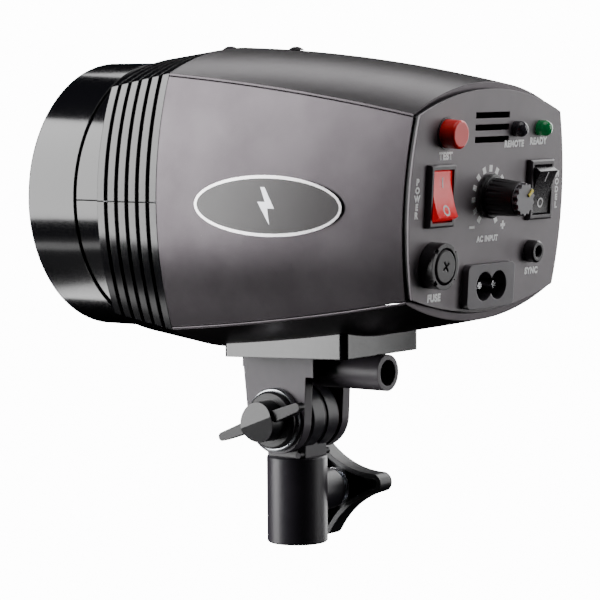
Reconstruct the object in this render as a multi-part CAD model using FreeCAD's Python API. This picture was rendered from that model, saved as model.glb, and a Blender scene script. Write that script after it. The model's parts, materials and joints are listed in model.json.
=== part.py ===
import FreeCAD, Part
import math
import os

os.makedirs("parts", exist_ok=True)

# Monolight strobe (studio flash head) on a tilting stand bracket.
# Frame: origin at the mouth of the stand socket, on its axis. +Z is up, the
# flash fires towards -Y, the control panel faces +Y. Millimetres throughout.

Vector = FreeCAD.Vector
X_AXIS = Vector(1, 0, 0)
Y_AXIS = Vector(0, 1, 0)
Z_AXIS = Vector(0, 0, 1)

# Fits
RUNNING_FIT = 0.05            # radial, shaft turning or sliding in a hole
SIDE_PLAY = 0.15              # between flat faces that slide past each other
SEAM = 0.3                    # open line between moulded covers

# Stand socket and its lock screw
STUD_BORE_RADIUS = 8.15       # takes a 16 mm lighting stud
SOCKET_WALL = 2.85
SOCKET_RADIUS = STUD_BORE_RADIUS + SOCKET_WALL
SOCKET_HEIGHT = 31.6
SOCKET_DEPTH = 26.0
LOCK_HEIGHT = 17.0
LOCK_BOSS_RADIUS = 7.6
LOCK_BOSS_FACE = SOCKET_RADIUS + 8.0    # distance of the boss face from the socket axis
LOCK_INSERT_RADIUS = 5.6
LOCK_SCREW_RADIUS = 4.0
LOCK_TIP_GAP = 0.3            # screw tip behind the bore wall when slack
LOCK_COLLAR_RADIUS = 7.2
LOCK_COLLAR_LENGTH = 2.2
LOCK_HUB_RADIUS = 6.4         # boss inside the hollow back of the star knob
LOCK_TRAVEL = 2.5
STAR_LOBES = 3
STAR_TIP_RADIUS = 3.6
STAR_REACH = 16.4             # lobe tip centres from the knob axis
STAR_THICKNESS = 8.5
STAR_WALL = 1.8
STAR_BEVEL = 1.2
STAR_FLOOR = 2.6              # solid outer face over the hollow back
STAR_WAIST = 9.0              # knob radius half way between lobes
STAR_TURN = 8.0               # degrees, first lobe above level

# Tilt joint
PIVOT_Y = 1.0
PIVOT_Z = 46.0
KNUCKLE_RADIUS = 12.5
KNUCKLE_WIDTH = 16.4
KNUCKLE_BAND = 2.4            # shallow groove round the middle
KNUCKLE_BAND_DEPTH = 0.6
NECK_FRONT = 9.0              # neck ahead of the pivot, then behind it
NECK_REAR = 7.6
FRICTION_DISC = 1.0
FRICTION_DISC_RADIUS = 11.6
STOP_PIN_RADIUS = 1.2
STOP_PIN_Y = 6.2              # behind the pivot
STOP_PIN_PROUD = 0.6
EAR_THICKNESS = 4.3
EAR_RADIUS = 12.6
EAR_FRONT = -14.0
EAR_REAR = 14.8
TILT_BOLT_RADIUS = 4.0
BOLT_HEAD_FLATS = 13.0
BOLT_HEAD_HEIGHT = 5.3
BOLT_END_GAP = 0.2            # bolt end short of the end of the threaded insert
TILT_WASHER = 1.8
TILT_WASHER_RADIUS = 11.4
KNOB_FLANGE_RADIUS = 10.4
KNOB_FLANGE = 1.8
KNOB_HUB_RADIUS = 7.2
KNOB_LENGTH = 10.0
KNOB_INSERT_RADIUS = 6.0
KNOB_INSERT_LENGTH = 7.0
KNOB_RIDGE = 1.4              # fall of the knob face from its ridge to its rim
WING_REACH = 17.8
WING_TIP_RADIUS = 1.6
WING_ROOT = 2.4               # half thickness at the hub
WING_SETBACK = 1.7            # wings behind the top of the ridge
WING_ANGLE = 21.0             # degrees above level, towards the panel end
WING_DEPTH = 6.0

# Bracket plate, umbrella tube and foot plate
BRACKET_PLATE_BOTTOM = 64.2
UMBRELLA_Z = 63.8
UMBRELLA_BORE_RADIUS = 4.6
UMBRELLA_TUBE_RADIUS = 6.5
UMBRELLA_START = 11.0
UMBRELLA_END = 40.5
GUSSET = 3.0
FOOT_HALF_WIDTH = 22.6
FOOT_FRONT = -16.0
FOOT_REAR = 38.5
FOOT_FRONT_BOTTOM = 68.3
FOOT_REAR_BOTTOM = 70.2
FOOT_CORNER = 2.5
FOOT_SCREW_RADIUS = 2.0
FOOT_SCREW_HEAD_RADIUS = 3.8
FOOT_SCREW_HEAD = 2.4
FOOT_SCREW_X = 10.6
FOOT_SCREW_END = 60.5

# Head body: four bulged faces that meet at soft corner lines
AXIS_Z = 124.5
BODY_FRONT = -22.6
BODY_MIDDLE = 30.0
BODY_WALL = 2.6
PANEL_Y = 83.0
BODY_REAR = PANEL_Y + 13.0    # lofted past the end, then cut at the panel
PANEL_TILT = 3.5              # degrees, panel top leans to the rear
PANEL_THICKNESS = 0.8
PANEL_SEAL = 1.6              # rubber band between the covers and the panel
SEAL_INSET = 0.3
PANEL_SPIGOT = 6.2            # depth behind the panel plate
SPIGOT_WALL = 2.0
SIDE_INSET = 0.8              # side covers stop short of the corner lines

# Front casing with ribs, collar and hood
RIB_FRONT = -49.0
RIB_COUNT = 6
RIB_GROOVE = 1.5
RIB_PITCH = (BODY_FRONT - RIB_FRONT + RIB_GROOVE) / RIB_COUNT
RIB_DEPTH = 2.0
CASING_WALL = 4.4
COLLAR_FRONT = -62.7
COLLAR_REAR = -52.0
COLLAR_RADIUS = 48.2
COLLAR_WALL = 2.6
HOOD_RADIUS = COLLAR_RADIUS + 0.8
HOOD_LENGTH = 22.6
HOOD_WALL = 2.2
HOOD_LIP = 3.2

# Lamp end
BULKHEAD_THICKNESS = 2.5
DISH_FRONT_GAP = 1.6          # between the front of the dish and the collar
DISH_BACK_RADIUS = 30.0
DISH_BULGE = 9.0              # how far the dish has widened part way along
DISH_DEPTH = 24.0
DISH_WALL = 1.2
LAMP_BASE_RADIUS = 28.0
LAMP_BASE_THICKNESS = 6.0
FLASH_RING_RADIUS = 20.0
FLASH_TUBE_RADIUS = 3.4
FLASH_RING_Y = -70.0
FLASH_RING_GAP = 44.0         # degrees left open between the two tube legs
LAMP_SOCKET_RADIUS = 11.0
LAMP_SOCKET_LENGTH = 12.0
LAMP_NECK_RADIUS = 6.0
LAMP_BULB_RADIUS = 7.5
LAMP_BULB_LENGTH = 14.0

# Inside
CHASSIS_THICKNESS = 1.5
CHASSIS_DROP = 22.0           # chassis floor below the head axis
CHASSIS_HALF_WIDTH = 35.0
CHASSIS_REAR = 48.0
CHASSIS_WALL_HEIGHT = 38.0
CAPACITOR_RADIUS = 16.5
CAPACITOR_LENGTH = 62.0
BOARD_THICKNESS = 1.6
COIL_RADIUS = 6.0
COIL_LENGTH = 18.0

# Panel controls: places are on the panel, across and up from its middle
SWITCH_X = 30.8
SWITCH_UP = 3.8
BEZEL_WIDTH = 15.0
BEZEL_HEIGHT = 21.0
BEZEL_PROUD = 2.0
BEZEL_BORDER = 1.6
SWITCH_LIP = 1.0
SWITCH_DEPTH = 18.0
ROCKER_PIVOT = -1.0           # pivot behind the panel face
ROCKER_GAP = 0.2
ROCKER_RADIUS = BEZEL_HEIGHT / 2 - BEZEL_BORDER - 1.5 * ROCKER_GAP
ROCKER_FACE = 3.9             # rocker corners ahead of the pivot
ROCKER_HOLLOW = 1.0           # middle of the rocker face below its corners
ROCKER_BACK = 2.5
ROCKER_LEAN = 12.0            # degrees either side of level
ROCKER_PIN_RADIUS = 1.2
BUTTON_X = 27.6
BUTTON_UP = 24.5
BUTTON_RADIUS = 4.85
BUTTON_PROUD = 6.0
BUTTON_TRAVEL = 2.2
BUTTON_TAIL = 3.0             # button below the panel face
BUTTON_COLLAR = 0.7
BUTTON_COLLAR_PROUD = 0.3
BUTTON_BARREL_FLOOR = 6.0
DIAL_X = 0.2
DIAL_UP = 2.6
DIAL_SKIRT_RADIUS = 7.6
DIAL_SKIRT = 1.6
DIAL_BASE_RADIUS = 6.5
DIAL_TOP_RADIUS = 5.9
DIAL_LENGTH = 12.0
DIAL_FLUTES = 18
DIAL_FLUTE_RADIUS = 0.7
DIAL_SOCKET = 8.0             # shaft hole up into the knob
DIAL_SCALLOPS = 14
DIAL_SCALLOP_RADIUS = 1.0
DIAL_CAN_RADIUS = 8.0
DIAL_CAN_LENGTH = 9.5
DIAL_STANDOFF = 0.8
DIAL_CAP = 2.0
DIAL_SHAFT_RADIUS = 3.0
DIAL_BUSHING_RADIUS = 3.6
DIAL_BUSHING = 3.0            # bushing above the underside of the knob
DIAL_CLEARANCE = 0.8
DIAL_POINTER = 50.0           # degrees clockwise from the top
VENT_COUNT = 3
VENT_PITCH = 4.15
VENT_TOP = 30.2
VENT_WIDTH = 21.0
VENT_HEIGHT = 2.1
DOME_RADIUS = 2.75
DOME_NECK = 2.1               # straight part below the round end
DOME_STEM_RADIUS = 2.35
DOME_STEM = 3.8
DOME_UP = 25.3
SENSOR_X = -14.6
READY_X = -30.3
FUSE_X = 33.0
FUSE_UP = -19.2
FUSE_RING_RADIUS = 7.8
FUSE_RING = 5.6
FUSE_NOTCH = 1.8
FUSE_CAP_RADIUS = 5.8
FUSE_CAP_FACE = 5.9
FUSE_CAP_START = 1.0
FUSE_SLOT = 4.2
FUSE_SLOT_WIDTH = 0.9
FUSE_SLOT_TURN = 35.0
FUSE_BARREL_RADIUS = 7.1
FUSE_BORE_RADIUS = 6.3
FUSE_BARREL_LENGTH = 30.0
FUSE_CARRIER_RADIUS = 5.2
FUSE_CARRIER = 6.0            # carrier behind the panel face
FUSE_GRIP = 4.0               # length of link held in the carrier
FUSE_FERRULE = 5.0
FUSE_LINK_RADIUS = 2.6
FUSE_LINK_LENGTH = 20.0
INLET_UP = -27.9
INLET_WIDTH = 28.8
INLET_HEIGHT = 15.2
INLET_CORNER = 2.4
INLET_PROUD = 2.7
INLET_LOBE_RADIUS = 5.0
INLET_WALL = 1.0
INLET_FLOOR = 2.5
INLET_PIN_SPACING = 8.6
INLET_PIN_RADIUS = 1.2
INLET_DEPTH = 11.0
SYNC_X = -27.2
SYNC_UP = -17.7
SYNC_RADIUS = 3.9
SYNC_PROUD = 4.0
SYNC_BORE_RADIUS = 1.8
SYNC_MOUTH = 0.5              # flare at the mouth
SYNC_BARREL_RADIUS = 3.0
SYNC_LENGTH = 14.0

# Trim
BADGE_LENGTH = 62.0
BADGE_HEIGHT = 21.0
BADGE_PROUD = 0.9
BADGE_Y = 26.0
TOP_SCREWS_Y = (-29.0, 1.0)
TOP_SCREW_RADIUS = 3.0
TOP_SCREW_DOME = 1.4
TOP_SCREW_SLOT = 3.2
TOP_SCREW_SLOT_WIDTH = 0.7
TOP_SCREW_SHANK = 5.0


# ---- Small helpers ----

def export(shape, node):
    shape.exportStep("parts/" + node + ".step")


def fuse(shapes):
    return shapes[0].multiFuse(shapes[1:]).removeSplitter()


def rod(axis, radius, start, end, a=0.0, b=0.0):
    """Cylinder along a main axis from start to end. a and b are the other two places, in X, Y, Z order."""
    base = {"x": Vector(start, a, b), "y": Vector(a, start, b), "z": Vector(a, b, start)}[axis]
    direction = {"x": X_AXIS, "y": Y_AXIS, "z": Z_AXIS}[axis]
    return Part.makeCylinder(radius, end - start, base, direction)


def box(x_range, y_range, z_range):
    size = [high - low for low, high in (x_range, y_range, z_range)]
    return Part.makeBox(*size, Vector(x_range[0], y_range[0], z_range[0]))


def prism(points, travel):
    """Extrude a closed outline of straight lines."""
    return Part.Face(Part.makePolygon(points + [points[0]])).extrude(travel)


def hex_bar(axis_start, flats, length):
    """Hexagonal bar along +X from axis_start."""
    corner = flats / math.sqrt(3)
    corners = [
        axis_start + Vector(0, corner * math.cos(math.radians(60 * i)), corner * math.sin(math.radians(60 * i)))
        for i in range(6)
    ]
    return prism(corners, Vector(length, 0, 0))


def bulged_outline(y, corner_x, corner_up, corner_down, side, top, bottom):
    """Closed outline of four outward arcs about the head axis, in the plane at y."""
    corners = [
        Vector(corner_x, y, AXIS_Z + corner_up),
        Vector(-corner_x, y, AXIS_Z + corner_up),
        Vector(-corner_x, y, AXIS_Z - corner_down),
        Vector(corner_x, y, AXIS_Z - corner_down),
    ]
    middles = [
        Vector(0, y, AXIS_Z + top),
        Vector(-side, y, AXIS_Z + (corner_up - corner_down) / 2),
        Vector(0, y, AXIS_Z - bottom),
        Vector(side, y, AXIS_Z + (corner_up - corner_down) / 2),
    ]
    edges = []
    for i in range(4):
        arc = Part.Arc(corners[i], middles[i], corners[(i + 1) % 4])
        edges.append(arc.toShape())
    return Part.Wire(edges)


def bulged_loft(sections, inset=0.0, ruled=False):
    """Loft through (y, corner_x, corner_up, corner_down, side, top, bottom) sections, all drawn in by inset."""
    wires = [bulged_outline(section[0], *[size - inset for size in section[1:]]) for section in sections]
    return Part.makeLoft(wires, True, ruled)


def on_panel(shape):
    """Move a shape drawn with the panel face at y = 0 and its middle at the origin onto the leaning panel."""
    placed = shape.copy()
    placed.rotate(Vector(0, 0, 0), X_AXIS, -PANEL_TILT)
    placed.translate(Vector(0, PANEL_Y, AXIS_Z))
    return placed


def pivot_rod(radius, start, end):
    return rod("x", radius, start, end, PIVOT_Y, PIVOT_Z)


def lock_rod(radius, inner, outer):
    """Cylinder on the lock screw axis between two distances from the socket axis, on the -X side."""
    return rod("x", radius, -outer, -inner, 0, LOCK_HEIGHT)


# ---- Stand socket, knuckle and lock screw ----

EAR_INNER = KNUCKLE_WIDTH / 2 + FRICTION_DISC + SIDE_PLAY
EAR_OUTER = EAR_INNER + EAR_THICKNESS


def socket_tube():
    tube = rod("z", SOCKET_RADIUS, 0, SOCKET_HEIGHT)
    tube = tube.makeChamfer(0.5, [edge for edge in tube.Edges if len(edge.Vertexes) == 1])
    tube = tube.fuse(lock_rod(LOCK_BOSS_RADIUS, STUD_BORE_RADIUS, LOCK_BOSS_FACE))
    tube = tube.cut(rod("z", STUD_BORE_RADIUS, -1, SOCKET_DEPTH))
    tube = tube.cut(lock_rod(LOCK_INSERT_RADIUS, SOCKET_RADIUS, LOCK_BOSS_FACE + 1))
    tube = tube.cut(lock_rod(LOCK_SCREW_RADIUS + RUNNING_FIT, 0, SOCKET_RADIUS + 1))
    return tube.removeSplitter()


def tilt_knuckle():
    half = KNUCKLE_WIDTH / 2
    disc = pivot_rod(KNUCKLE_RADIUS, -half, half)
    disc = disc.makeChamfer(1.0, [edge for edge in disc.Edges if len(edge.Vertexes) == 1])
    band = pivot_rod(KNUCKLE_RADIUS + 1, -KNUCKLE_BAND / 2, KNUCKLE_BAND / 2)
    band = band.cut(pivot_rod(KNUCKLE_RADIUS - KNUCKLE_BAND_DEPTH, -half, half))
    neck = box((-half, half), (PIVOT_Y - NECK_FRONT, PIVOT_Y + NECK_REAR), (SOCKET_HEIGHT, PIVOT_Z - 4))
    neck = neck.common(rod("z", SOCKET_RADIUS - 0.4, SOCKET_HEIGHT, PIVOT_Z))
    knuckle = disc.cut(band).fuse(neck)
    knuckle = knuckle.cut(pivot_rod(TILT_BOLT_RADIUS + RUNNING_FIT, -half - 1, half + 1))
    return knuckle.cut(stop_pin()).removeSplitter()


def stop_pin():
    reach = KNUCKLE_WIDTH / 2 + STOP_PIN_PROUD
    return rod("x", STOP_PIN_RADIUS, -reach, reach, PIVOT_Y + STOP_PIN_Y, SOCKET_HEIGHT + STOP_PIN_RADIUS)


def friction_discs():
    start = KNUCKLE_WIDTH / 2
    discs = []
    for side in (-1, 1):
        inner, outer = sorted((side * start, side * (start + FRICTION_DISC)))
        disc = pivot_rod(FRICTION_DISC_RADIUS, inner, outer)
        discs.append(disc.cut(pivot_rod(TILT_BOLT_RADIUS + RUNNING_FIT, inner - 1, outer + 1)))
    return Part.makeCompound(discs)


def lock_insert():
    sleeve = lock_rod(LOCK_INSERT_RADIUS, SOCKET_RADIUS, LOCK_BOSS_FACE)
    return sleeve.cut(lock_rod(LOCK_SCREW_RADIUS + RUNNING_FIT, SOCKET_RADIUS - 1, LOCK_BOSS_FACE + 1))


LOCK_COLLAR_START = LOCK_BOSS_FACE + LOCK_TRAVEL + 0.5
STAR_START = LOCK_COLLAR_START + LOCK_COLLAR_LENGTH
STAR_END = STAR_START + STAR_THICKNESS
LOCK_SCREW_END = STAR_END - 2.0


def lock_screw():
    tip = STUD_BORE_RADIUS + LOCK_TIP_GAP
    screw = lock_rod(LOCK_SCREW_RADIUS, tip, LOCK_SCREW_END)
    return screw.makeChamfer(0.6, [edge for edge in screw.Edges if len(edge.Vertexes) == 1])


def lock_collar():
    collar = lock_rod(LOCK_COLLAR_RADIUS, LOCK_COLLAR_START, STAR_START)
    return collar.cut(lock_rod(LOCK_SCREW_RADIUS + RUNNING_FIT, LOCK_COLLAR_START - 1, STAR_START + 1))


def star_outline(tip_radius, waist_radius):
    """Round lobes joined by hollow arcs that run smoothly into them, in the plane x = 0 about the origin."""
    half_step = math.pi / STAR_LOBES
    swell = tip_radius - waist_radius
    hollow_reach = (STAR_REACH ** 2 - swell ** 2) / (2 * swell + 2 * STAR_REACH * math.cos(half_step))

    def spoke(angle, reach):
        return Vector(0, math.cos(angle), math.sin(angle)) * reach

    edges = []
    for i in range(STAR_LOBES):
        angle = math.radians(STAR_TURN) + 2 * half_step * i
        tip = spoke(angle, STAR_REACH)
        before = spoke(angle - half_step, hollow_reach) - tip
        after = spoke(angle + half_step, hollow_reach) - tip
        tip_start = tip + before.normalize() * tip_radius
        tip_end = tip + after.normalize() * tip_radius
        edges.append(Part.Arc(tip_start, spoke(angle, STAR_REACH + tip_radius), tip_end).toShape())
        following = spoke(angle + 2 * half_step, STAR_REACH)
        back = spoke(angle + half_step, hollow_reach) - following
        next_start = following + back.normalize() * tip_radius
        edges.append(Part.Arc(tip_end, spoke(angle + half_step, waist_radius), next_start).toShape())
    return Part.Wire(edges)


def lock_knob():
    travel = Vector(-STAR_THICKNESS, 0, 0)
    body = Part.Face(star_outline(STAR_TIP_RADIUS, STAR_WAIST)).extrude(travel)
    rims = [edge for edge in body.Edges if abs(edge.BoundBox.XMax + STAR_THICKNESS) < 0.01]
    body = body.makeChamfer(STAR_BEVEL, rims)
    hollow_wire = star_outline(STAR_TIP_RADIUS - STAR_WALL, STAR_WAIST - STAR_WALL)
    hollow = Part.Face(hollow_wire).extrude(Vector(-STAR_THICKNESS + STAR_FLOOR, 0, 0))
    body = body.cut(hollow)
    body.translate(Vector(-STAR_START, 0, LOCK_HEIGHT))
    body = body.fuse(lock_rod(LOCK_HUB_RADIUS, STAR_START, STAR_END - 1))
    bore = lock_rod(LOCK_SCREW_RADIUS + RUNNING_FIT, STAR_START - 1, LOCK_SCREW_END + 0.3)
    return body.cut(bore).removeSplitter()


# ---- Tilt bracket and its clamp ----

def foot_under_side(y):
    share = (y - FOOT_FRONT) / (FOOT_REAR - FOOT_FRONT)
    return FOOT_FRONT_BOTTOM + share * (FOOT_REAR_BOTTOM - FOOT_FRONT_BOTTOM)


def under_foot(y_low, y_high, x_low, x_high, z_bottom):
    """Block from z_bottom up to the sloping underside of the foot plate."""
    side = [
        Vector(x_low, y_low, z_bottom),
        Vector(x_low, y_high, z_bottom),
        Vector(x_low, y_high, foot_under_side(y_high)),
        Vector(x_low, y_low, foot_under_side(y_low)),
    ]
    return prism(side, Vector(x_high - x_low, 0, 0))


def ear(side):
    """Plate that narrows from the foot plate down to a round end about the pivot."""
    start = side * EAR_INNER
    centre = Vector(start, PIVOT_Y, PIVOT_Z)
    front_top = Vector(start, EAR_FRONT, foot_under_side(EAR_FRONT))
    rear_top = Vector(start, EAR_REAR, foot_under_side(EAR_REAR))
    to_front = front_top - centre
    lean = math.asin(EAR_RADIUS / to_front.Length)
    aim = math.atan2(to_front.z, to_front.y) + math.pi / 2 - lean
    front_tangent = centre + Vector(0, math.cos(aim), math.sin(aim)) * EAR_RADIUS
    rear_tangent = centre + Vector(0, EAR_RADIUS, 0)
    low = centre + Vector(0, 0, -EAR_RADIUS)
    edges = [
        Part.makeLine(front_top, front_tangent),
        Part.Arc(front_tangent, low, rear_tangent).toShape(),
        Part.makeLine(rear_tangent, rear_top),
        Part.makeLine(rear_top, front_top),
    ]
    return Part.Face(Part.Wire(edges)).extrude(Vector(side * EAR_THICKNESS, 0, 0))


def tilt_bracket():
    plate = under_foot(EAR_FRONT, EAR_REAR, -EAR_OUTER, EAR_OUTER, BRACKET_PLATE_BOTTOM)
    tube = rod("y", UMBRELLA_TUBE_RADIUS, UMBRELLA_START, UMBRELLA_END, 0, UMBRELLA_Z)
    web = under_foot(UMBRELLA_START, UMBRELLA_END - 4, -GUSSET / 2, GUSSET / 2, UMBRELLA_Z)
    shapes = [ear(-1), ear(1), plate, tube, web]
    for side in (-1, 1):
        low, high = sorted((side * 4.0, side * EAR_OUTER))
        shapes.append(under_foot(EAR_REAR - 1, EAR_REAR + GUSSET, low, high, UMBRELLA_Z - 2))
    bracket = fuse(shapes)
    sky = under_foot(EAR_FRONT - 5, UMBRELLA_END + 5, -20, 20, BRACKET_PLATE_BOTTOM - 60)
    bracket = bracket.common(sky)
    bracket = bracket.cut(rod("y", UMBRELLA_BORE_RADIUS, EAR_FRONT - 1, UMBRELLA_END + 1, 0, UMBRELLA_Z))
    bracket = bracket.cut(pivot_rod(TILT_BOLT_RADIUS + RUNNING_FIT, -EAR_OUTER - 1, EAR_OUTER + 1))
    bracket = bracket.cut(pivot_rod(KNUCKLE_RADIUS + 0.8, -EAR_INNER, EAR_INNER))
    for screw in foot_screw_shanks():
        bracket = bracket.cut(screw)
    return bracket.removeSplitter()


def foot_screw_places():
    return [(x, y) for x in (-FOOT_SCREW_X, FOOT_SCREW_X) for y in (EAR_FRONT + 5.5, EAR_REAR - 5.5)]


def shell_floor(x, y):
    """Height of the inside of the lower cover at a place."""
    plumb_line = Part.makeLine(Vector(x, y, AXIS_Z), Vector(x, y, 0))
    return BODY_INNER.common(plumb_line).BoundBox.ZMin


def foot_screw_shanks():
    return [rod("z", FOOT_SCREW_RADIUS, FOOT_SCREW_END, AXIS_Z - 40, x, y) for x, y in foot_screw_places()]


def foot_screws():
    """Pan-head screws that stand in flat seats on the inside of the lower cover."""
    screws = []
    for x, y in foot_screw_places():
        seat = shell_floor(x, y)
        shank = rod("z", FOOT_SCREW_RADIUS, FOOT_SCREW_END, seat, x, y)
        head = rod("z", FOOT_SCREW_HEAD_RADIUS, seat, seat + FOOT_SCREW_HEAD, x, y)
        screws.append(shank.fuse(head).removeSplitter())
    return Part.makeCompound(screws)


def foot_plate():
    """Block between the bracket and the head, hollowed to the head's underside."""
    side = [
        Vector(-FOOT_HALF_WIDTH, FOOT_FRONT, FOOT_FRONT_BOTTOM),
        Vector(-FOOT_HALF_WIDTH, FOOT_REAR, FOOT_REAR_BOTTOM),
        Vector(-FOOT_HALF_WIDTH, FOOT_REAR, AXIS_Z - CHASSIS_DROP),
        Vector(-FOOT_HALF_WIDTH, FOOT_FRONT, AXIS_Z - CHASSIS_DROP),
    ]
    block = prism(side, Vector(2 * FOOT_HALF_WIDTH, 0, 0))
    upright = [edge for edge in block.Edges if edge.BoundBox.ZLength > CHASSIS_DROP]
    plate = block.makeFillet(FOOT_CORNER, upright).cut(BODY_OUTER)
    for shank in foot_screw_shanks():
        plate = plate.cut(shank)
    return plate


def tilt_bolt():
    head_start = Vector(-EAR_OUTER - BOLT_HEAD_HEIGHT, PIVOT_Y, PIVOT_Z)
    head = hex_bar(head_start, BOLT_HEAD_FLATS, BOLT_HEAD_HEIGHT)
    return head.fuse(pivot_rod(TILT_BOLT_RADIUS, -EAR_OUTER - 1, KNOB_INSERT_END - BOLT_END_GAP)).removeSplitter()


def tilt_washer():
    washer = pivot_rod(TILT_WASHER_RADIUS, EAR_OUTER, EAR_OUTER + TILT_WASHER)
    washer = washer.makeChamfer(0.5, [edge for edge in washer.Edges if edge.BoundBox.XMin > EAR_OUTER + 1])
    return washer.cut(pivot_rod(TILT_BOLT_RADIUS + RUNNING_FIT, EAR_OUTER - 1, EAR_OUTER + TILT_WASHER + 1))


KNOB_START = EAR_OUTER + TILT_WASHER + SIDE_PLAY
KNOB_END = KNOB_START + KNOB_LENGTH
KNOB_INSERT_END = KNOB_START + KNOB_INSERT_LENGTH


def tilt_insert():
    sleeve = pivot_rod(KNOB_INSERT_RADIUS, KNOB_START, KNOB_INSERT_END)
    return sleeve.cut(pivot_rod(TILT_BOLT_RADIUS + RUNNING_FIT, KNOB_START - 1, KNOB_INSERT_END + 1))


def tilt_knob():
    """Round hub with a flange and two thumb wings. The hub's face is a shallow ridge along the wings."""
    flange = pivot_rod(KNOB_FLANGE_RADIUS, KNOB_START, KNOB_START + KNOB_FLANGE)
    flange = flange.makeChamfer(0.8, [edge for edge in flange.Edges if edge.BoundBox.XMin > KNOB_START + 1])
    hub = pivot_rod(KNOB_HUB_RADIUS, KNOB_START, KNOB_END).cut(face_facets())
    knob = fuse([flange, hub, wing_pair()])
    knob = knob.cut(pivot_rod(KNOB_INSERT_RADIUS + RUNNING_FIT, KNOB_START - 1, KNOB_INSERT_END + 0.1))
    return knob.removeSplitter()


def wing_pair():
    """Blade that tapers from the hub to a round tip on each side, drawn level and then turned."""
    face = KNOB_END - WING_SETBACK
    root_high = Vector(face, 0, WING_ROOT)
    root_low = Vector(face, 0, -WING_ROOT)
    tip_high = Vector(face, WING_REACH, WING_TIP_RADIUS)
    tip_low = Vector(face, WING_REACH, -WING_TIP_RADIUS)
    outline = [
        Part.makeLine(root_high, tip_high),
        Part.Arc(tip_high, Vector(face, WING_REACH + WING_TIP_RADIUS, 0), tip_low).toShape(),
        Part.makeLine(tip_low, root_low),
        Part.makeLine(root_low, root_high),
    ]
    blade = Part.Face(Part.Wire(outline)).extrude(Vector(-WING_DEPTH, 0, 0))
    reach = WING_REACH + WING_TIP_RADIUS + 1
    undercut = prism(
        [
            Vector(face - WING_DEPTH - 1, KNOB_HUB_RADIUS, -WING_ROOT),
            Vector(face - WING_DEPTH - 1, reach, -WING_ROOT),
            Vector(face - WING_DEPTH / 2, reach, -WING_ROOT),
            Vector(face - WING_DEPTH, KNOB_HUB_RADIUS, -WING_ROOT),
        ],
        Vector(0, 0, 2 * WING_ROOT),
    )
    blade = blade.cut(undercut)
    other = blade.copy()
    other.rotate(Vector(0, 0, 0), X_AXIS, 180)
    return turned_on_pivot(blade.fuse(other))


def face_facets():
    """Two wedges that slope the hub's face away from the ridge along the wings."""
    wide = KNOB_FLANGE_RADIUS
    deep = KNOB_END - KNOB_RIDGE * wide / KNOB_HUB_RADIUS
    wedges = []
    for side in (-1, 1):
        points = [
            Vector(KNOB_END, -wide, 0),
            Vector(KNOB_END + 1, -wide, 0),
            Vector(KNOB_END + 1, -wide, side * wide),
            Vector(deep, -wide, side * wide),
        ]
        wedges.append(prism(points, Vector(0, 2 * wide, 0)))
    return turned_on_pivot(wedges[0].fuse(wedges[1]))


def turned_on_pivot(shape):
    """Turn a shape drawn level about the X axis to the wings' angle, and put it on the pivot."""
    shape.rotate(Vector(0, 0, 0), X_AXIS, WING_ANGLE)
    shape.translate(Vector(0, PIVOT_Y, PIVOT_Z))
    return shape


# ---- Head covers ----

BODY_SECTIONS = [
    (BODY_FRONT, 42.5, 45.2, 45.2, 50.6, 54.3, 54.4),
    (BODY_MIDDLE, 43.3, 39.6, 39.4, 49.6, 50.2, 48.6),
    (BODY_REAR, 43.6, 28.6, 28.4, 46.8, 38.6, 36.2),
]
CASING_SECTIONS = [
    (RIB_FRONT, 43.0, 40.5, 40.5, 51.8, 51.0, 51.0),
    (BODY_FRONT, 42.5, 45.2, 45.2, 50.6, 54.3, 54.4),
]
PANEL_SECTION = (0.0, 43.4, 30.8, 30.2, 47.4, 39.2, 36.7)

BODY_OUTER = bulged_loft(BODY_SECTIONS)
BODY_INNER = bulged_loft(BODY_SECTIONS, BODY_WALL)


def behind_panel(depth_low, depth_high):
    """Slab parallel to the panel, between two depths from its face (positive outwards)."""
    return on_panel(box((-80, 80), (depth_low, depth_high), (-80, 80)))


def body_covers():
    """The hollow body, open at both ends and cut parallel to the panel at the rear."""
    beyond = behind_panel(-PANEL_THICKNESS - PANEL_SEAL, 60)
    return BODY_OUTER.cut(beyond).cut(BODY_INNER)


def side_region(side, inset):
    """Wedge on one side of the body, between the corner lines."""
    outlines = []
    for y, corner_x, corner_up, corner_down, *_ in BODY_SECTIONS:
        near = side * (corner_x - 8)
        far = side * (corner_x + 20)
        high = AXIS_Z + corner_up - inset
        low = AXIS_Z - corner_down + inset
        points = [Vector(near, y, high), Vector(far, y, high), Vector(far, y, low), Vector(near, y, low)]
        outlines.append(Part.makePolygon(points + [points[0]]))
    return Part.makeLoft(outlines, True, False)


def side_cover(covers, side):
    return covers.common(side_region(side, SIDE_INSET + SEAM))


def end_shell(covers, upper):
    shell = covers
    for side in (-1, 1):
        shell = shell.cut(side_region(side, SIDE_INSET))
    z_range = (AXIS_Z, AXIS_Z + 80) if upper else (AXIS_Z - 80, AXIS_Z)
    return shell.common(box((-80, 80), (BODY_FRONT - 5, BODY_REAR + 20), z_range))


def upper_shell(covers):
    shell = end_shell(covers, True)
    for screw in top_screws():
        shell = shell.cut(screw)
    return shell


def lower_shell(covers):
    shell = end_shell(covers, False)
    for shank in foot_screw_shanks():
        shell = shell.cut(shank)
    return shell.cut(foot_screws())


def top_screw_places():
    return [Vector(0, y, top_height(y)) for y in TOP_SCREWS_Y]


def top_height(y):
    """Height of the ridge of the covers at y."""
    cover = BODY_OUTER if y > BODY_FRONT else CASING_OUTER
    plumb_line = Part.makeLine(Vector(0, y, AXIS_Z), Vector(0, y, AXIS_Z + 80))
    return cover.common(plumb_line).BoundBox.ZMax


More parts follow.
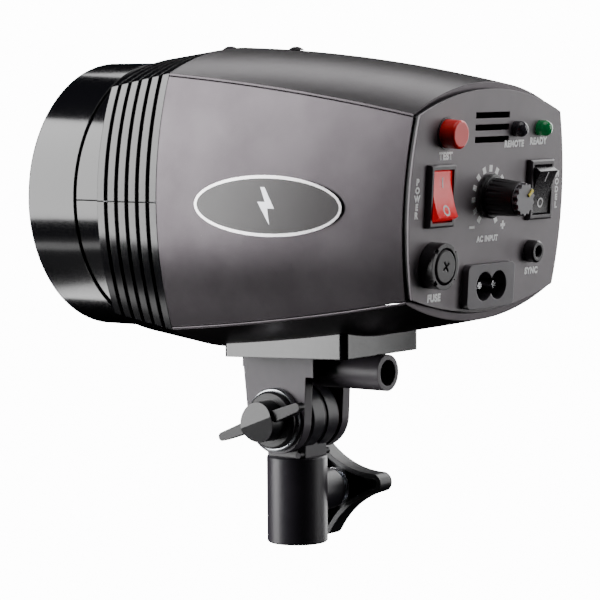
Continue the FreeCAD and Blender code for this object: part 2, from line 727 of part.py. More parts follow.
def top_screws():
    """Domed screw heads on the ridge, with a cross slot."""
    heads = []
    for place in top_screw_places():
        sphere_radius = (TOP_SCREW_RADIUS ** 2 + TOP_SCREW_DOME ** 2) / (2 * TOP_SCREW_DOME)
        dome = Part.makeSphere(sphere_radius, place + Vector(0, 0, TOP_SCREW_DOME - sphere_radius))
        head = dome.common(Part.makeCylinder(TOP_SCREW_RADIUS, 4, place))
        for turn in (0, 90):
            corner = place + Vector(-TOP_SCREW_SLOT / 2, -TOP_SCREW_SLOT_WIDTH / 2, TOP_SCREW_DOME / 2)
            slot = Part.makeBox(TOP_SCREW_SLOT, TOP_SCREW_SLOT_WIDTH, TOP_SCREW_DOME, corner)
            slot.rotate(place, Z_AXIS, turn)
            head = head.cut(slot)
        shank = Part.makeCylinder(TOP_SCREW_RADIUS / 2, TOP_SCREW_SHANK, place - Vector(0, 0, TOP_SCREW_SHANK))
        heads.append(head.fuse(shank))
    return heads


def side_badges():
    """Thin oval plates let onto the side covers."""
    plates = []
    for side in (-1, 1):
        ellipse = Part.Ellipse(Vector(0, BADGE_Y, AXIS_Z), BADGE_LENGTH / 2, BADGE_HEIGHT / 2)
        wire = Part.Wire(ellipse.toShape())
        wire.rotate(Vector(0, BADGE_Y, AXIS_Z), Z_AXIS, 90)
        wire.rotate(Vector(0, BADGE_Y, AXIS_Z), Y_AXIS, 90)
        column = Part.Face(wire).extrude(Vector(side * 80, 0, 0))
        swollen = bulged_loft(BODY_SECTIONS, -BADGE_PROUD)
        plates.append(swollen.cut(BODY_OUTER).common(column))
    return Part.makeCompound(plates)


# ---- Front casing, hood and lamp end ----

CASING_OUTER = bulged_loft(CASING_SECTIONS, 0.0, True)


def ribbed_casing():
    """Ribbed block behind a round collar, with the square outline blended into the round one."""
    core = bulged_loft(CASING_SECTIONS, RIB_DEPTH, True)
    shapes = [core]
    for i in range(RIB_COUNT):
        start = RIB_FRONT + i * RIB_PITCH
        end = start + RIB_PITCH - RIB_GROOVE
        shapes.append(CASING_OUTER.common(box((-80, 80), (start, end), (AXIS_Z - 80, AXIS_Z + 80))))
    blend = Part.makeLoft([round_outline(COLLAR_REAR, COLLAR_RADIUS), bulged_outline(*CASING_SECTIONS[0])], True, True)
    collar = rod("y", COLLAR_RADIUS, COLLAR_FRONT, COLLAR_REAR, 0, AXIS_Z)
    casing = fuse(shapes + [blend, collar])
    casing = casing.cut(bulged_loft(CASING_SECTIONS, CASING_WALL, True))
    casing = casing.cut(rod("y", BULKHEAD_RADIUS, COLLAR_FRONT - 1, RIB_FRONT + 0.5, 0, AXIS_Z))
    for screw in top_screws():
        casing = casing.cut(screw)
    return casing.removeSplitter()


def round_outline(y, radius):
    """Circle about the head axis, split at the four corner directions."""
    corners = []
    middles = []
    for i in range(4):
        corner = math.radians(45 + 90 * i)
        middle = math.radians(90 + 90 * i)
        corners.append(Vector(radius * math.cos(corner), y, AXIS_Z + radius * math.sin(corner)))
        middles.append(Vector(radius * math.cos(middle), y, AXIS_Z + radius * math.sin(middle)))
    edges = [Part.Arc(corners[i], middles[i], corners[(i + 1) % 4]).toShape() for i in range(4)]
    return Part.Wire(edges)


BULKHEAD_RADIUS = COLLAR_RADIUS - COLLAR_WALL
BULKHEAD_Y = RIB_FRONT - BULKHEAD_THICKNESS


def half_casing(casing, upper):
    low, high = (AXIS_Z + SEAM / 2, AXIS_Z + 80) if upper else (AXIS_Z - 80, AXIS_Z - SEAM / 2)
    return casing.common(box((-80, 80), (COLLAR_FRONT - 5, BODY_FRONT + 5), (low, high)))


def reflector_hood():
    """Plain ring round the lamp, with a rounded front rim and a rear lip that meets the collar."""
    front = COLLAR_FRONT - HOOD_LENGTH
    ring = rod("y", HOOD_RADIUS, front, COLLAR_FRONT, 0, AXIS_Z)
    ring = ring.makeFillet(0.9, [edge for edge in ring.Edges if abs(edge.BoundBox.YMax - front) < 0.01])
    ring = ring.cut(rod("y", HOOD_RADIUS - HOOD_WALL, front - 1, COLLAR_FRONT - HOOD_LIP, 0, AXIS_Z))
    return ring.cut(rod("y", BULKHEAD_RADIUS, front - 1, COLLAR_FRONT + 1, 0, AXIS_Z))


def reflector_dish():
    """Curved silver dish that widens from the lamp base to the hood."""
    back_y = BULKHEAD_Y
    front_y = back_y - DISH_DEPTH
    inner = [
        Vector(DISH_BACK_RADIUS, back_y, AXIS_Z),
        Vector(DISH_BACK_RADIUS + DISH_BULGE, back_y - DISH_DEPTH * 0.4, AXIS_Z),
        Vector(BULKHEAD_RADIUS - DISH_FRONT_GAP - DISH_WALL, front_y, AXIS_Z),
    ]
    shift = Vector(DISH_WALL, 0, 0)
    inner_arc = Part.Arc(*inner).toShape()
    outer_arc = Part.Arc(*[point + shift for point in inner]).toShape()
    edges = [
        inner_arc,
        Part.makeLine(inner[2], inner[2] + shift),
        outer_arc,
        Part.makeLine(inner[0] + shift, inner[0]),
    ]
    face = Part.Face(Part.Wire(Part.__sortEdges__(edges)))
    return face.revolve(Vector(0, 0, AXIS_Z), Y_AXIS, 360)


def bulkhead():
    plate = rod("y", BULKHEAD_RADIUS, BULKHEAD_Y, RIB_FRONT, 0, AXIS_Z)
    return plate.cut(rod("y", LAMP_SOCKET_RADIUS, BULKHEAD_Y - 1, RIB_FRONT + 1, 0, AXIS_Z))


LAMP_BASE_Y = BULKHEAD_Y - LAMP_BASE_THICKNESS


def tube_leg_places():
    """Where the two tube legs stand: either side of the gap at the bottom of the ring."""
    places = []
    for side in (-1, 1):
        angle = math.radians(-90 + side * FLASH_RING_GAP / 2)
        places.append((FLASH_RING_RADIUS * math.cos(angle), AXIS_Z + FLASH_RING_RADIUS * math.sin(angle)))
    return places


def lamp_base():
    base = rod("y", LAMP_BASE_RADIUS, LAMP_BASE_Y, BULKHEAD_Y, 0, AXIS_Z)
    base = base.cut(rod("y", LAMP_SOCKET_RADIUS, LAMP_BASE_Y - 1, BULKHEAD_Y + 1, 0, AXIS_Z))
    for x, z in tube_leg_places():
        base = base.cut(rod("y", FLASH_TUBE_RADIUS, LAMP_BASE_Y - 1, LAMP_BASE_Y + 3, x, z))
    return base


def flash_tube():
    """Ring of glass tube with two legs that plug into the base."""
    ring = Part.makeTorus(
        FLASH_RING_RADIUS, FLASH_TUBE_RADIUS, Vector(0, FLASH_RING_Y, AXIS_Z), Y_AXIS, -180, 180, 360 - FLASH_RING_GAP
    )
    ring.rotate(Vector(0, FLASH_RING_Y, AXIS_Z), Y_AXIS, 180 + FLASH_RING_GAP / 2)
    shapes = [ring]
    for x, z in tube_leg_places():
        shapes.append(rod("y", FLASH_TUBE_RADIUS, FLASH_RING_Y, LAMP_BASE_Y + 3, x, z))
        shapes.append(Part.makeSphere(FLASH_TUBE_RADIUS, Vector(x, FLASH_RING_Y, z)))
    return fuse(shapes)


def lamp_socket():
    """Ceramic holder that passes through the base and the bulkhead."""
    front = LAMP_BASE_Y - 1.0
    holder = rod("y", LAMP_SOCKET_RADIUS, front, front + LAMP_SOCKET_LENGTH, 0, AXIS_Z)
    return holder.cut(rod("y", LAMP_NECK_RADIUS, front - 1, front + LAMP_SOCKET_LENGTH - 3, 0, AXIS_Z))


def modelling_lamp():
    """Small tubular halogen lamp: neck in the holder, rounded glass envelope ahead of it."""
    front = LAMP_BASE_Y - 1.0
    neck = rod("y", LAMP_NECK_RADIUS, front - 2, front + LAMP_SOCKET_LENGTH - 4, 0, AXIS_Z)
    glass_front = front - 2 - LAMP_BULB_LENGTH
    glass = rod("y", LAMP_BULB_RADIUS, glass_front, front - 2, 0, AXIS_Z)
    glass = glass.makeFillet(4.0, [edge for edge in glass.Edges if abs(edge.BoundBox.YMax - glass_front) < 0.01])
    return neck.fuse(glass).removeSplitter()


# ---- Inside: chassis, capacitors, board ----

CHASSIS_FLOOR = AXIS_Z - CHASSIS_DROP


def chassis():
    half = CHASSIS_HALF_WIDTH
    outer = box((-half, half), (RIB_FRONT, CHASSIS_REAR), (CHASSIS_FLOOR, CHASSIS_FLOOR + CHASSIS_WALL_HEIGHT))
    reach = half - CHASSIS_THICKNESS
    inner = box(
        (-reach, reach),
        (RIB_FRONT + CHASSIS_THICKNESS, CHASSIS_REAR + 1),
        (CHASSIS_FLOOR + CHASSIS_THICKNESS, CHASSIS_FLOOR + CHASSIS_WALL_HEIGHT + 1),
    )
    hole = rod("y", LAMP_SOCKET_RADIUS + 1, RIB_FRONT - 1, RIB_FRONT + CHASSIS_THICKNESS + 1, 0, AXIS_Z)
    return outer.cut(inner).cut(hole)


def capacitors():
    z = CHASSIS_FLOOR + CHASSIS_THICKNESS + CAPACITOR_RADIUS
    start = CHASSIS_REAR - CAPACITOR_LENGTH
    cans = []
    for side in (-1, 1):
        can = rod("y", CAPACITOR_RADIUS, start, start + CAPACITOR_LENGTH, side * (CAPACITOR_RADIUS + 0.3), z)
        cans.append(can.makeFillet(1.5, [edge for edge in can.Edges if len(edge.Vertexes) == 1]))
    return Part.makeCompound(cans)


BOARD_Z = CHASSIS_FLOOR + CHASSIS_WALL_HEIGHT


def main_board():
    half = CHASSIS_HALF_WIDTH
    return box((-half, half), (RIB_FRONT + 4, CHASSIS_REAR - 4), (BOARD_Z, BOARD_Z + BOARD_THICKNESS))


def trigger_coil():
    z = BOARD_Z + BOARD_THICKNESS + COIL_RADIUS
    return rod("x", COIL_RADIUS, -COIL_LENGTH / 2, COIL_LENGTH / 2, RIB_FRONT + 22, z)


# ---- Rear panel and what it carries ----

def at(shape, x, up):
    """Move a shape drawn about the panel's middle to its place on the panel."""
    placed = shape.copy()
    placed.translate(Vector(x, 0, up))
    return placed


def panel_outline(inset):
    y, corner_x, corner_up, corner_down, side, top, bottom = PANEL_SECTION
    sizes = [size - inset for size in (corner_x, corner_up, corner_down, side, top, bottom)]
    wire = bulged_outline(y, *sizes)
    wire.translate(Vector(0, 0, -AXIS_Z))
    return wire


def panel_seal():
    """Rubber band that fills the step between the panel plate and the ends of the covers."""
    band = Part.Face(panel_outline(SEAL_INSET)).extrude(Vector(0, -PANEL_SEAL, 0))
    band.translate(Vector(0, -PANEL_THICKNESS, 0))
    return on_panel(band).cut(BODY_INNER)


def rear_panel():
    """Thin plate with a spigot that seats inside the covers, and the cut-outs for the controls."""
    plate = Part.Face(panel_outline(0.0)).extrude(Vector(0, -PANEL_THICKNESS, 0))
    plate = on_panel(plate)
    spigot = behind_panel(-PANEL_THICKNESS - PANEL_SPIGOT, -PANEL_THICKNESS).common(BODY_INNER)
    spigot = spigot.cut(bulged_loft(BODY_SECTIONS, BODY_WALL + SPIGOT_WALL))
    panel = plate.fuse(spigot)
    for cut in panel_cuts():
        panel = panel.cut(on_panel(cut))
    return panel.removeSplitter()


def panel_cuts():
    deep = -PANEL_THICKNESS - PANEL_SPIGOT - 1
    cuts = []
    for i in range(VENT_COUNT):
        up = VENT_TOP - i * VENT_PITCH
        low = up - VENT_HEIGHT / 2
        cuts.append(box((-VENT_WIDTH / 2, VENT_WIDTH / 2), (deep, 1), (low, low + VENT_HEIGHT)))
    for side in (-1, 1):
        cuts.append(at(switch_neck(deep, 1), side * SWITCH_X, SWITCH_UP))
    cuts.append(rod("y", BUTTON_RADIUS + BUTTON_COLLAR, deep, 1, BUTTON_X, BUTTON_UP))
    cuts.append(rod("y", DIAL_BUSHING_RADIUS, deep, 1, DIAL_X, DIAL_UP))
    cuts.append(rod("y", FUSE_BARREL_RADIUS, deep, 1, FUSE_X, FUSE_UP))
    cuts.append(rod("y", SYNC_BARREL_RADIUS, deep, 1, SYNC_X, SYNC_UP))
    cuts.append(inlet_neck(deep, 1))
    for x in (SENSOR_X, READY_X):
        cuts.append(rod("y", DOME_STEM_RADIUS, deep, 1, x, DOME_UP))
    return cuts


def switch_neck(start, end):
    half_width = BEZEL_WIDTH / 2 - SWITCH_LIP
    half_height = BEZEL_HEIGHT / 2 - SWITCH_LIP
    return box((-half_width, half_width), (start, end), (-half_height, half_height))


ROCKER_HALF_WIDTH = BEZEL_WIDTH / 2 - BEZEL_BORDER - ROCKER_GAP


def switch_body():
    """Snap-in switch housing: a rimmed bezel outside, a box behind the panel, and the rocker's well."""
    bezel = box(
        (-BEZEL_WIDTH / 2, BEZEL_WIDTH / 2), (0, BEZEL_PROUD), (-BEZEL_HEIGHT / 2, BEZEL_HEIGHT / 2)
    )
    rim = [edge for edge in bezel.Edges if edge.BoundBox.YMin > BEZEL_PROUD - 0.01]
    bezel = bezel.makeChamfer(0.6, rim)
    housing = bezel.fuse(switch_neck(-SWITCH_DEPTH, 0))
    half_width = ROCKER_HALF_WIDTH + ROCKER_GAP
    half_height = ROCKER_RADIUS + ROCKER_GAP
    well_floor = ROCKER_PIVOT - ROCKER_BACK - ROCKER_RADIUS * math.sin(math.radians(ROCKER_LEAN)) - 0.6
    well = box((-half_width, half_width), (well_floor, BEZEL_PROUD + 1), (-half_height, half_height))
    pins = rod("x", ROCKER_PIN_RADIUS + RUNNING_FIT, -half_width - 0.5, half_width + 0.5, ROCKER_PIVOT, 0)
    return housing.cut(well).cut(pins).removeSplitter()


def rocker(lean):
    """Rocker with a hollowed V face and ends that are arcs about its pivot, at a lean in degrees."""
    corner_up = math.sqrt(ROCKER_RADIUS ** 2 - ROCKER_FACE ** 2)
    back_up = math.sqrt(ROCKER_RADIUS ** 2 - ROCKER_BACK ** 2)
    start = Vector(-ROCKER_HALF_WIDTH, 0, 0)
    edges = []
    front_high = start + Vector(0, ROCKER_FACE, corner_up)
    front_low = start + Vector(0, ROCKER_FACE, -corner_up)
    middle = start + Vector(0, ROCKER_FACE - ROCKER_HOLLOW, 0)
    back_high = start + Vector(0, -ROCKER_BACK, back_up)
    back_low = start + Vector(0, -ROCKER_BACK, -back_up)
    edges.append(Part.Arc(front_low, middle, front_high).toShape())
    edges.append(Part.Arc(front_high, start + Vector(0, 0, ROCKER_RADIUS), back_high).toShape())
    edges.append(Part.makeLine(back_high, back_low))
    edges.append(Part.Arc(back_low, start + Vector(0, 0, -ROCKER_RADIUS), front_low).toShape())
    body = Part.Face(Part.Wire(edges)).extrude(Vector(2 * ROCKER_HALF_WIDTH, 0, 0))
    pin_reach = ROCKER_HALF_WIDTH + ROCKER_GAP + 0.4
    body = body.fuse(rod("x", ROCKER_PIN_RADIUS, -pin_reach, pin_reach))
    body.rotate(Vector(0, 0, 0), X_AXIS, lean)
    body.translate(Vector(0, ROCKER_PIVOT, 0))
    return body.removeSplitter()


BUTTON_WELL = BUTTON_TAIL + BUTTON_TRAVEL + SEAM


def test_switch():
    """Push switch barrel that stands just proud of the panel round the button."""
    barrel = rod("y", BUTTON_RADIUS + BUTTON_COLLAR, -BUTTON_WELL - BUTTON_BARREL_FLOOR, BUTTON_COLLAR_PROUD)
    return barrel.cut(rod("y", BUTTON_RADIUS + RUNNING_FIT, -BUTTON_WELL, BUTTON_COLLAR_PROUD + 1))


def test_button():
    button = rod("y", BUTTON_RADIUS, -BUTTON_TAIL, BUTTON_PROUD)
    return button.makeFillet(1.0, [edge for edge in button.Edges if edge.BoundBox.YMin > BUTTON_PROUD - 0.01])


def dial_control():
    """Potentiometer: can behind the panel and a threaded bushing through it."""
    can = rod("y", DIAL_CAN_RADIUS, -PANEL_THICKNESS - DIAL_CAN_LENGTH, -PANEL_THICKNESS)
    bushing = rod("y", DIAL_BUSHING_RADIUS, -PANEL_THICKNESS - 1, DIAL_STANDOFF + DIAL_BUSHING)
    shaft_hole = rod("y", DIAL_SHAFT_RADIUS + RUNNING_FIT, DIAL_SHAFT_BACK - SEAM, DIAL_STANDOFF + DIAL_BUSHING + 1)
    return can.fuse(bushing).cut(shaft_hole).removeSplitter()


DIAL_SHAFT_BACK = -PANEL_THICKNESS - 5.6
DIAL_SHAFT_FRONT = DIAL_STANDOFF + DIAL_SOCKET


def dial_shaft():
    return rod("y", DIAL_SHAFT_RADIUS, DIAL_SHAFT_BACK, DIAL_SHAFT_FRONT)


def ring_of_rods(count, radius, reach, start, end):
    """Rods along Y, evenly spaced on a circle about the Y axis."""
    rods = []
    for i in range(count):
        angle = 2 * math.pi * i / count
        rods.append(rod("y", radius, start, end, reach * math.cos(angle), reach * math.sin(angle)))
    return rods


def dial_knob():
    """Fluted, slightly tapered knob on a round skirt, hollow underneath round the shaft."""
    start = DIAL_STANDOFF
    end = start + DIAL_LENGTH
    skirt = rod("y", DIAL_SKIRT_RADIUS, start, start + DIAL_SKIRT)
    skirt = skirt.makeChamfer(0.6, [edge for edge in skirt.Edges if edge.BoundBox.YMin > start + 1])
    grip = Part.makeCone(
        DIAL_BASE_RADIUS, DIAL_TOP_RADIUS, DIAL_LENGTH - DIAL_SKIRT, Vector(0, start + DIAL_SKIRT, 0), Y_AXIS
    )
    reach = DIAL_BASE_RADIUS + DIAL_FLUTE_RADIUS / 3
    for flute in ring_of_rods(DIAL_FLUTES, DIAL_FLUTE_RADIUS, reach, start + DIAL_SKIRT + 0.6, end + 1):
        grip = grip.cut(flute)
    knob = skirt.fuse(grip)
    knob = knob.cut(rod("y", DIAL_BUSHING_RADIUS + DIAL_CLEARANCE, start - 1, start + DIAL_BUSHING + DIAL_CLEARANCE))
    knob = knob.cut(rod("y", DIAL_SHAFT_RADIUS, start - 1, DIAL_SHAFT_FRONT))
    return knob.removeSplitter()


def dial_cap():
    """Scalloped end cap with a raised pointer."""
    start = DIAL_STANDOFF + DIAL_LENGTH
    end = start + DIAL_CAP
    cap = rod("y", DIAL_TOP_RADIUS - SEAM, start, end)
    for scallop in ring_of_rods(DIAL_SCALLOPS, DIAL_SCALLOP_RADIUS, DIAL_TOP_RADIUS, start + 0.5, end + 1):
        cap = cap.cut(scallop)
    pointer = box((-0.5, 0.5), (end, end + 0.6), (DIAL_TOP_RADIUS * 0.3, DIAL_TOP_RADIUS - DIAL_SCALLOP_RADIUS))
    pointer.rotate(Vector(0, 0, 0), Y_AXIS, -DIAL_POINTER)
    return cap.fuse(pointer).removeSplitter()


def fuse_holder():
    """Barrel through the panel with a notched outer ring."""
    holder = rod("y", FUSE_BARREL_RADIUS, -FUSE_BARREL_LENGTH, 0).fuse(rod("y", FUSE_RING_RADIUS, 0, FUSE_RING))
    half = FUSE_NOTCH / 2
    for i in range(4):
        notch = box((-half, half), (FUSE_RING - half, FUSE_RING + 1), (FUSE_RING_RADIUS - half, FUSE_RING_RADIUS + 1))
        notch.rotate(Vector(0, 0, 0), Y_AXIS, 45 + 90 * i)
        holder = holder.cut(notch)
    return holder.cut(rod("y", FUSE_BORE_RADIUS, -FUSE_BARREL_LENGTH + 3, FUSE_RING + 1)).removeSplitter()


def fuse_cap():
    """Screwdriver cap with a cross slot, sunk in the outer ring."""
    head = rod("y", FUSE_CAP_RADIUS, FUSE_CAP_START, FUSE_CAP_FACE)
    head = head.makeChamfer(0.6, [edge for edge in head.Edges if edge.BoundBox.YMin > FUSE_CAP_START + 1])
    half = FUSE_SLOT / 2
    half_width = FUSE_SLOT_WIDTH / 2
    for turn in (0, 90):
        slot = box((-half, half), (FUSE_CAP_FACE - 1.3, FUSE_CAP_FACE + 1), (-half_width, half_width))
        slot.rotate(Vector(0, 0, 0), Y_AXIS, turn + FUSE_SLOT_TURN)
        head = head.cut(slot)
    return head


def fuse_carrier():
    """Sleeve behind the cap that grips one end of the link."""
    sleeve = rod("y", FUSE_CARRIER_RADIUS, -FUSE_CARRIER, FUSE_CAP_START)
    return sleeve.cut(rod("y", FUSE_LINK_RADIUS + RUNNING_FIT, -FUSE_CARRIER - 1, -FUSE_CARRIER + FUSE_GRIP))


def fuse_link():
    """Glass fuse: two end ferrules with a thinner glass between them."""
    front = -FUSE_CARRIER + FUSE_GRIP
    back = front - FUSE_LINK_LENGTH
    glass = rod("y", FUSE_LINK_RADIUS - 0.2, back, front)
    ends = [
        rod("y", FUSE_LINK_RADIUS, back, back + FUSE_FERRULE),
        rod("y", FUSE_LINK_RADIUS, front - FUSE_FERRULE, front),
    ]
    return fuse([glass] + ends)


def inlet_neck(start, end):
    half_width = INLET_PIN_SPACING / 2 + INLET_LOBE_RADIUS + INLET_WALL
    half_height = INLET_LOBE_RADIUS + INLET_WALL
    return box((-half_width, half_width), (start, end), (INLET_UP - half_height, INLET_UP + half_height))


def inlet_pair(radius, start, end):
    half = INLET_PIN_SPACING / 2
    return rod("y", radius, start, end, -half, INLET_UP).fuse(rod("y", radius, start, end, half, INLET_UP))


INLET_WELL = INLET_PROUD - INLET_DEPTH


def inlet_body():
    """Mains inlet: round-cornered frame outside, figure-of-eight well for the cord's socket."""
    half_width = INLET_WIDTH / 2
    half_height = INLET_HEIGHT / 2
    frame = box((-half_width, half_width), (0, INLET_PROUD), (INLET_UP - half_height, INLET_UP + half_height))
    corners = [edge for edge in frame.Edges if edge.BoundBox.YLength > INLET_PROUD - 0.1]
    frame = frame.makeFillet(INLET_CORNER, corners)
    body = frame.fuse(inlet_neck(INLET_WELL - INLET_FLOOR, 0))
    well = inlet_pair(INLET_LOBE_RADIUS, INLET_WELL, INLET_PROUD + 1)
    return body.cut(well).cut(inlet_pins()).removeSplitter()


def inlet_pins():
    return inlet_pair(INLET_PIN_RADIUS, INLET_WELL - 2, INLET_PROUD - 2)


def sync_jack():
    """Small jack socket: round nut outside with a flared mouth, barrel through the panel."""
    nut = rod("y", SYNC_RADIUS, 0, SYNC_PROUD)
    nut = nut.makeChamfer(0.6, [edge for edge in nut.Edges if edge.BoundBox.YMin > SYNC_PROUD - 0.01])
    jack = nut.fuse(rod("y", SYNC_BARREL_RADIUS, -SYNC_LENGTH, 0))
    jack = jack.cut(rod("y", SYNC_BORE_RADIUS, -SYNC_LENGTH + 2, SYNC_PROUD + 1))
    flare = Part.makeCone(
        SYNC_BORE_RADIUS, SYNC_BORE_RADIUS + SYNC_MOUTH, SYNC_MOUTH, Vector(0, SYNC_PROUD - SYNC_MOUTH, 0), Y_AXIS
    )
    return jack.cut(flare).removeSplitter()


def dome():
    """Round-ended window on a stem through the panel."""
    ball = Part.makeSphere(DOME_RADIUS, Vector(0, DOME_NECK, 0))
    ball = ball.common(box((-9, 9), (DOME_NECK, 9), (-9, 9)))
    return fuse([ball, rod("y", DOME_RADIUS, 0, DOME_NECK), rod("y", DOME_STEM_RADIUS, -DOME_STEM, 0)])


# ---- Build and export ----

export(socket_tube(), "socket_tube")
export(tilt_knuckle(), "tilt_knuckle")
export(stop_pin(), "stop_pin")
export(friction_discs(), "friction_discs")
export(lock_insert(), "lock_insert")
export(lock_screw(), "lock_screw")
export(lock_collar(), "lock_collar")
export(lock_knob(), "lock_knob")

export(foot_plate(), "foot_plate")
export(tilt_bracket(), "tilt_bracket")
export(foot_screws(), "foot_screws")
export(tilt_bolt(), "tilt_bolt")
export(tilt_washer(), "tilt_washer")
export(tilt_insert(), "tilt_insert")
export(tilt_knob(), "tilt_knob")

COVERS = body_covers()
export(upper_shell(COVERS), "upper_shell")
export(lower_shell(COVERS), "lower_shell")
export(side_cover(COVERS, 1), "side_cover_right")
export(side_cover(COVERS, -1), "side_cover_left")
export(side_badges(), "side_badges")
export(Part.makeCompound(top_screws()), "top_screws")

CASING = ribbed_casing()
export(half_casing(CASING, True), "front_casing_upper")
export(half_casing(CASING, False), "front_casing_lower")
export(reflector_hood(), "reflector_hood")
export(reflector_dish(), "reflector_dish")
export(bulkhead(), "bulkhead")
export(lamp_base(), "lamp_base")
export(flash_tube(), "flash_tube")
export(lamp_socket(), "lamp_socket")
export(modelling_lamp(), "modelling_lamp")

export(chassis(), "chassis")
export(capacitors(), "capacitors")
export(main_board(), "main_board")
export(trigger_coil(), "trigger_coil")

export(rear_panel(), "rear_panel")
export(panel_seal(), "panel_seal")
for name, side, lean in (("power", 1, ROCKER_LEAN), ("model", -1, -ROCKER_LEAN)):
    export(on_panel(at(switch_body(), side * SWITCH_X, SWITCH_UP)), name + "_switch_body")
    export(on_panel(at(rocker(lean), side * SWITCH_X, SWITCH_UP)), name + "_rocker")
export(on_panel(at(test_switch(), BUTTON_X, BUTTON_UP)), "test_switch")
export(on_panel(at(test_button(), BUTTON_X, BUTTON_UP)), "test_button")
export(on_panel(at(dial_control(), DIAL_X, DIAL_UP)), "dial_control")
export(on_panel(at(dial_shaft(), DIAL_X, DIAL_UP)), "dial_shaft")
export(on_panel(at(dial_knob(), DIAL_X, DIAL_UP)), "dial_knob")
export(on_panel(at(dial_cap(), DIAL_X, DIAL_UP)), "dial_cap")
export(on_panel(at(fuse_holder(), FUSE_X, FUSE_UP)), "fuse_holder")
export(on_panel(at(fuse_cap(), FUSE_X, FUSE_UP)), "fuse_cap")
export(on_panel(at(fuse_carrier(), FUSE_X, FUSE_UP)), "fuse_carrier")
export(on_panel(at(fuse_link(), FUSE_X, FUSE_UP)), "fuse_link")
export(on_panel(inlet_body()), "inlet_body")
export(on_panel(inlet_pins()), "inlet_pins")
export(on_panel(at(sync_jack(), SYNC_X, SYNC_UP)), "sync_jack")
export(on_panel(at(dome(), SENSOR_X, DOME_UP)), "sensor_window")
export(on_panel(at(dome(), READY_X, DOME_UP)), "ready_lamp")
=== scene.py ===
import json
import math

import bmesh
import bpy
from mathutils import Matrix, Vector


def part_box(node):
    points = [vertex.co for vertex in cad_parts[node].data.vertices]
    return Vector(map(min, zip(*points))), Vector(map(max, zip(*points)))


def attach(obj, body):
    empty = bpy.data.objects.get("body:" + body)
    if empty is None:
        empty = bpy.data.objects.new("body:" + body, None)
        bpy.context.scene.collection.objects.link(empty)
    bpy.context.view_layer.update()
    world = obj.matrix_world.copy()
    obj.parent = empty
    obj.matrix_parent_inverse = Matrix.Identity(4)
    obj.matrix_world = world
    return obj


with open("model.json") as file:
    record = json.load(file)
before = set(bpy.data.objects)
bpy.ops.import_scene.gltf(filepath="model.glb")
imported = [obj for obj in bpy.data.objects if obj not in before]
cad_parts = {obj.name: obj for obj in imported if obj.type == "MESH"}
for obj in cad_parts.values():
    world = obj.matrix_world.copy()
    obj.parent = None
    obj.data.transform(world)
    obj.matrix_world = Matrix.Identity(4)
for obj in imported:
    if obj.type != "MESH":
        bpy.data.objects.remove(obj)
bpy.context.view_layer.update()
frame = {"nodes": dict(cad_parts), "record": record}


# ---- Stand socket ----
# A die-cast aluminium sleeve that drops over the stud of a light stand. It is
# sprayed satin black, so it shows a soft sheen and a very fine spray texture.

def linear(code, alpha=1.0):
    """An sRGB hex colour as linear values."""
    channels = [int(code[i : i + 2], 16) / 255 for i in (0, 2, 4)]
    return [c / 12.92 if c <= 0.04045 else ((c + 0.055) / 1.055) ** 2.4 for c in channels] + [alpha]


def add_node(material, kind, settings, feeds):
    """One shader node: settings are its own properties, feeds give its sockets values or other outputs."""
    node = material.node_tree.nodes.new(kind)
    for name, value in settings.items():
        setattr(node, name, value)
    for name, feed in feeds.items():
        if isinstance(feed, bpy.types.NodeSocket):
            material.node_tree.links.new(feed, node.inputs[name])
        else:
            node.inputs[name].default_value = feed
    return node


def new_material(name):
    """An empty node material."""
    material = bpy.data.materials.new(name)
    material.use_nodes = True
    material.node_tree.nodes.clear()
    return material


def dress(material, *nodes):
    """Gives CAD nodes a finish."""
    for node in nodes:
        slots = frame["nodes"][node].data.materials
        slots.clear()
        slots.append(material)


CLOUDS_PER_METRE = 45.0     # patches of colour about 22 mm across


def sprayed_paint(name, dark, light, roughness, grain_mm, depth_mm, metallic=0.0, edge_mm=0.35):
    """Paint or moulded skin: cloudy colour between two shades, fine grain as bump, and eased edges."""
    material = new_material(name)
    place = add_node(material, "ShaderNodeTexCoord", {}, {})
    cloud = add_node(
        material,
        "ShaderNodeTexNoise",
        {},
        {"Vector": place.outputs["Object"], "Scale": CLOUDS_PER_METRE, "Detail": 4.0},
    )
    grain = add_node(
        material,
        "ShaderNodeTexNoise",
        {},
        {"Vector": place.outputs["Object"], "Scale": 1000.0 / grain_mm, "Detail": 2.0},
    )
    blend = add_node(material, "ShaderNodeValToRGB", {}, {"Fac": cloud.outputs["Fac"]})
    blend.color_ramp.elements[0].position = 0.35
    blend.color_ramp.elements[0].color = linear(dark)
    blend.color_ramp.elements[1].position = 0.65
    blend.color_ramp.elements[1].color = linear(light)
    shine = add_node(
        material,
        "ShaderNodeMapRange",
        {},
        {"Value": grain.outputs["Fac"], "To Min": roughness - 0.05, "To Max": roughness + 0.05},
    )
    eased = add_node(material, "ShaderNodeBevel", {"samples": 4}, {"Radius": edge_mm / 1000})
    bump = add_node(
        material,
        "ShaderNodeBump",
        {},
        {
            "Height": grain.outputs["Fac"],
            "Distance": depth_mm / 1000,
            "Strength": 0.6,
            "Normal": eased.outputs["Normal"],
        },
    )
    shader = add_node(
        material,
        "ShaderNodeBsdfPrincipled",
        {},
        {
            "Base Color": blend.outputs["Color"],
            "Roughness": shine.outputs["Result"],
            "Metallic": metallic,
            "Normal": bump.outputs["Normal"],
        },
    )
    add_node(material, "ShaderNodeOutputMaterial", {}, {"Surface": shader.outputs["BSDF"]})
    return material


# Satin black spray: nearly black with a cold tint, and a sheen broken by a 0.5 mm texture.
satin_black = sprayed_paint("satin_black_spray", "221f26", "2d2930", 0.36, 0.5, 0.02)
dress(satin_black, "socket_tube")


# ---- Tilt knuckle, its pin and its discs ----
# The knuckle is die-cast and sprayed like the socket. The discs each side are
# pressed friction fibre, and the roll pin is blackened steel.

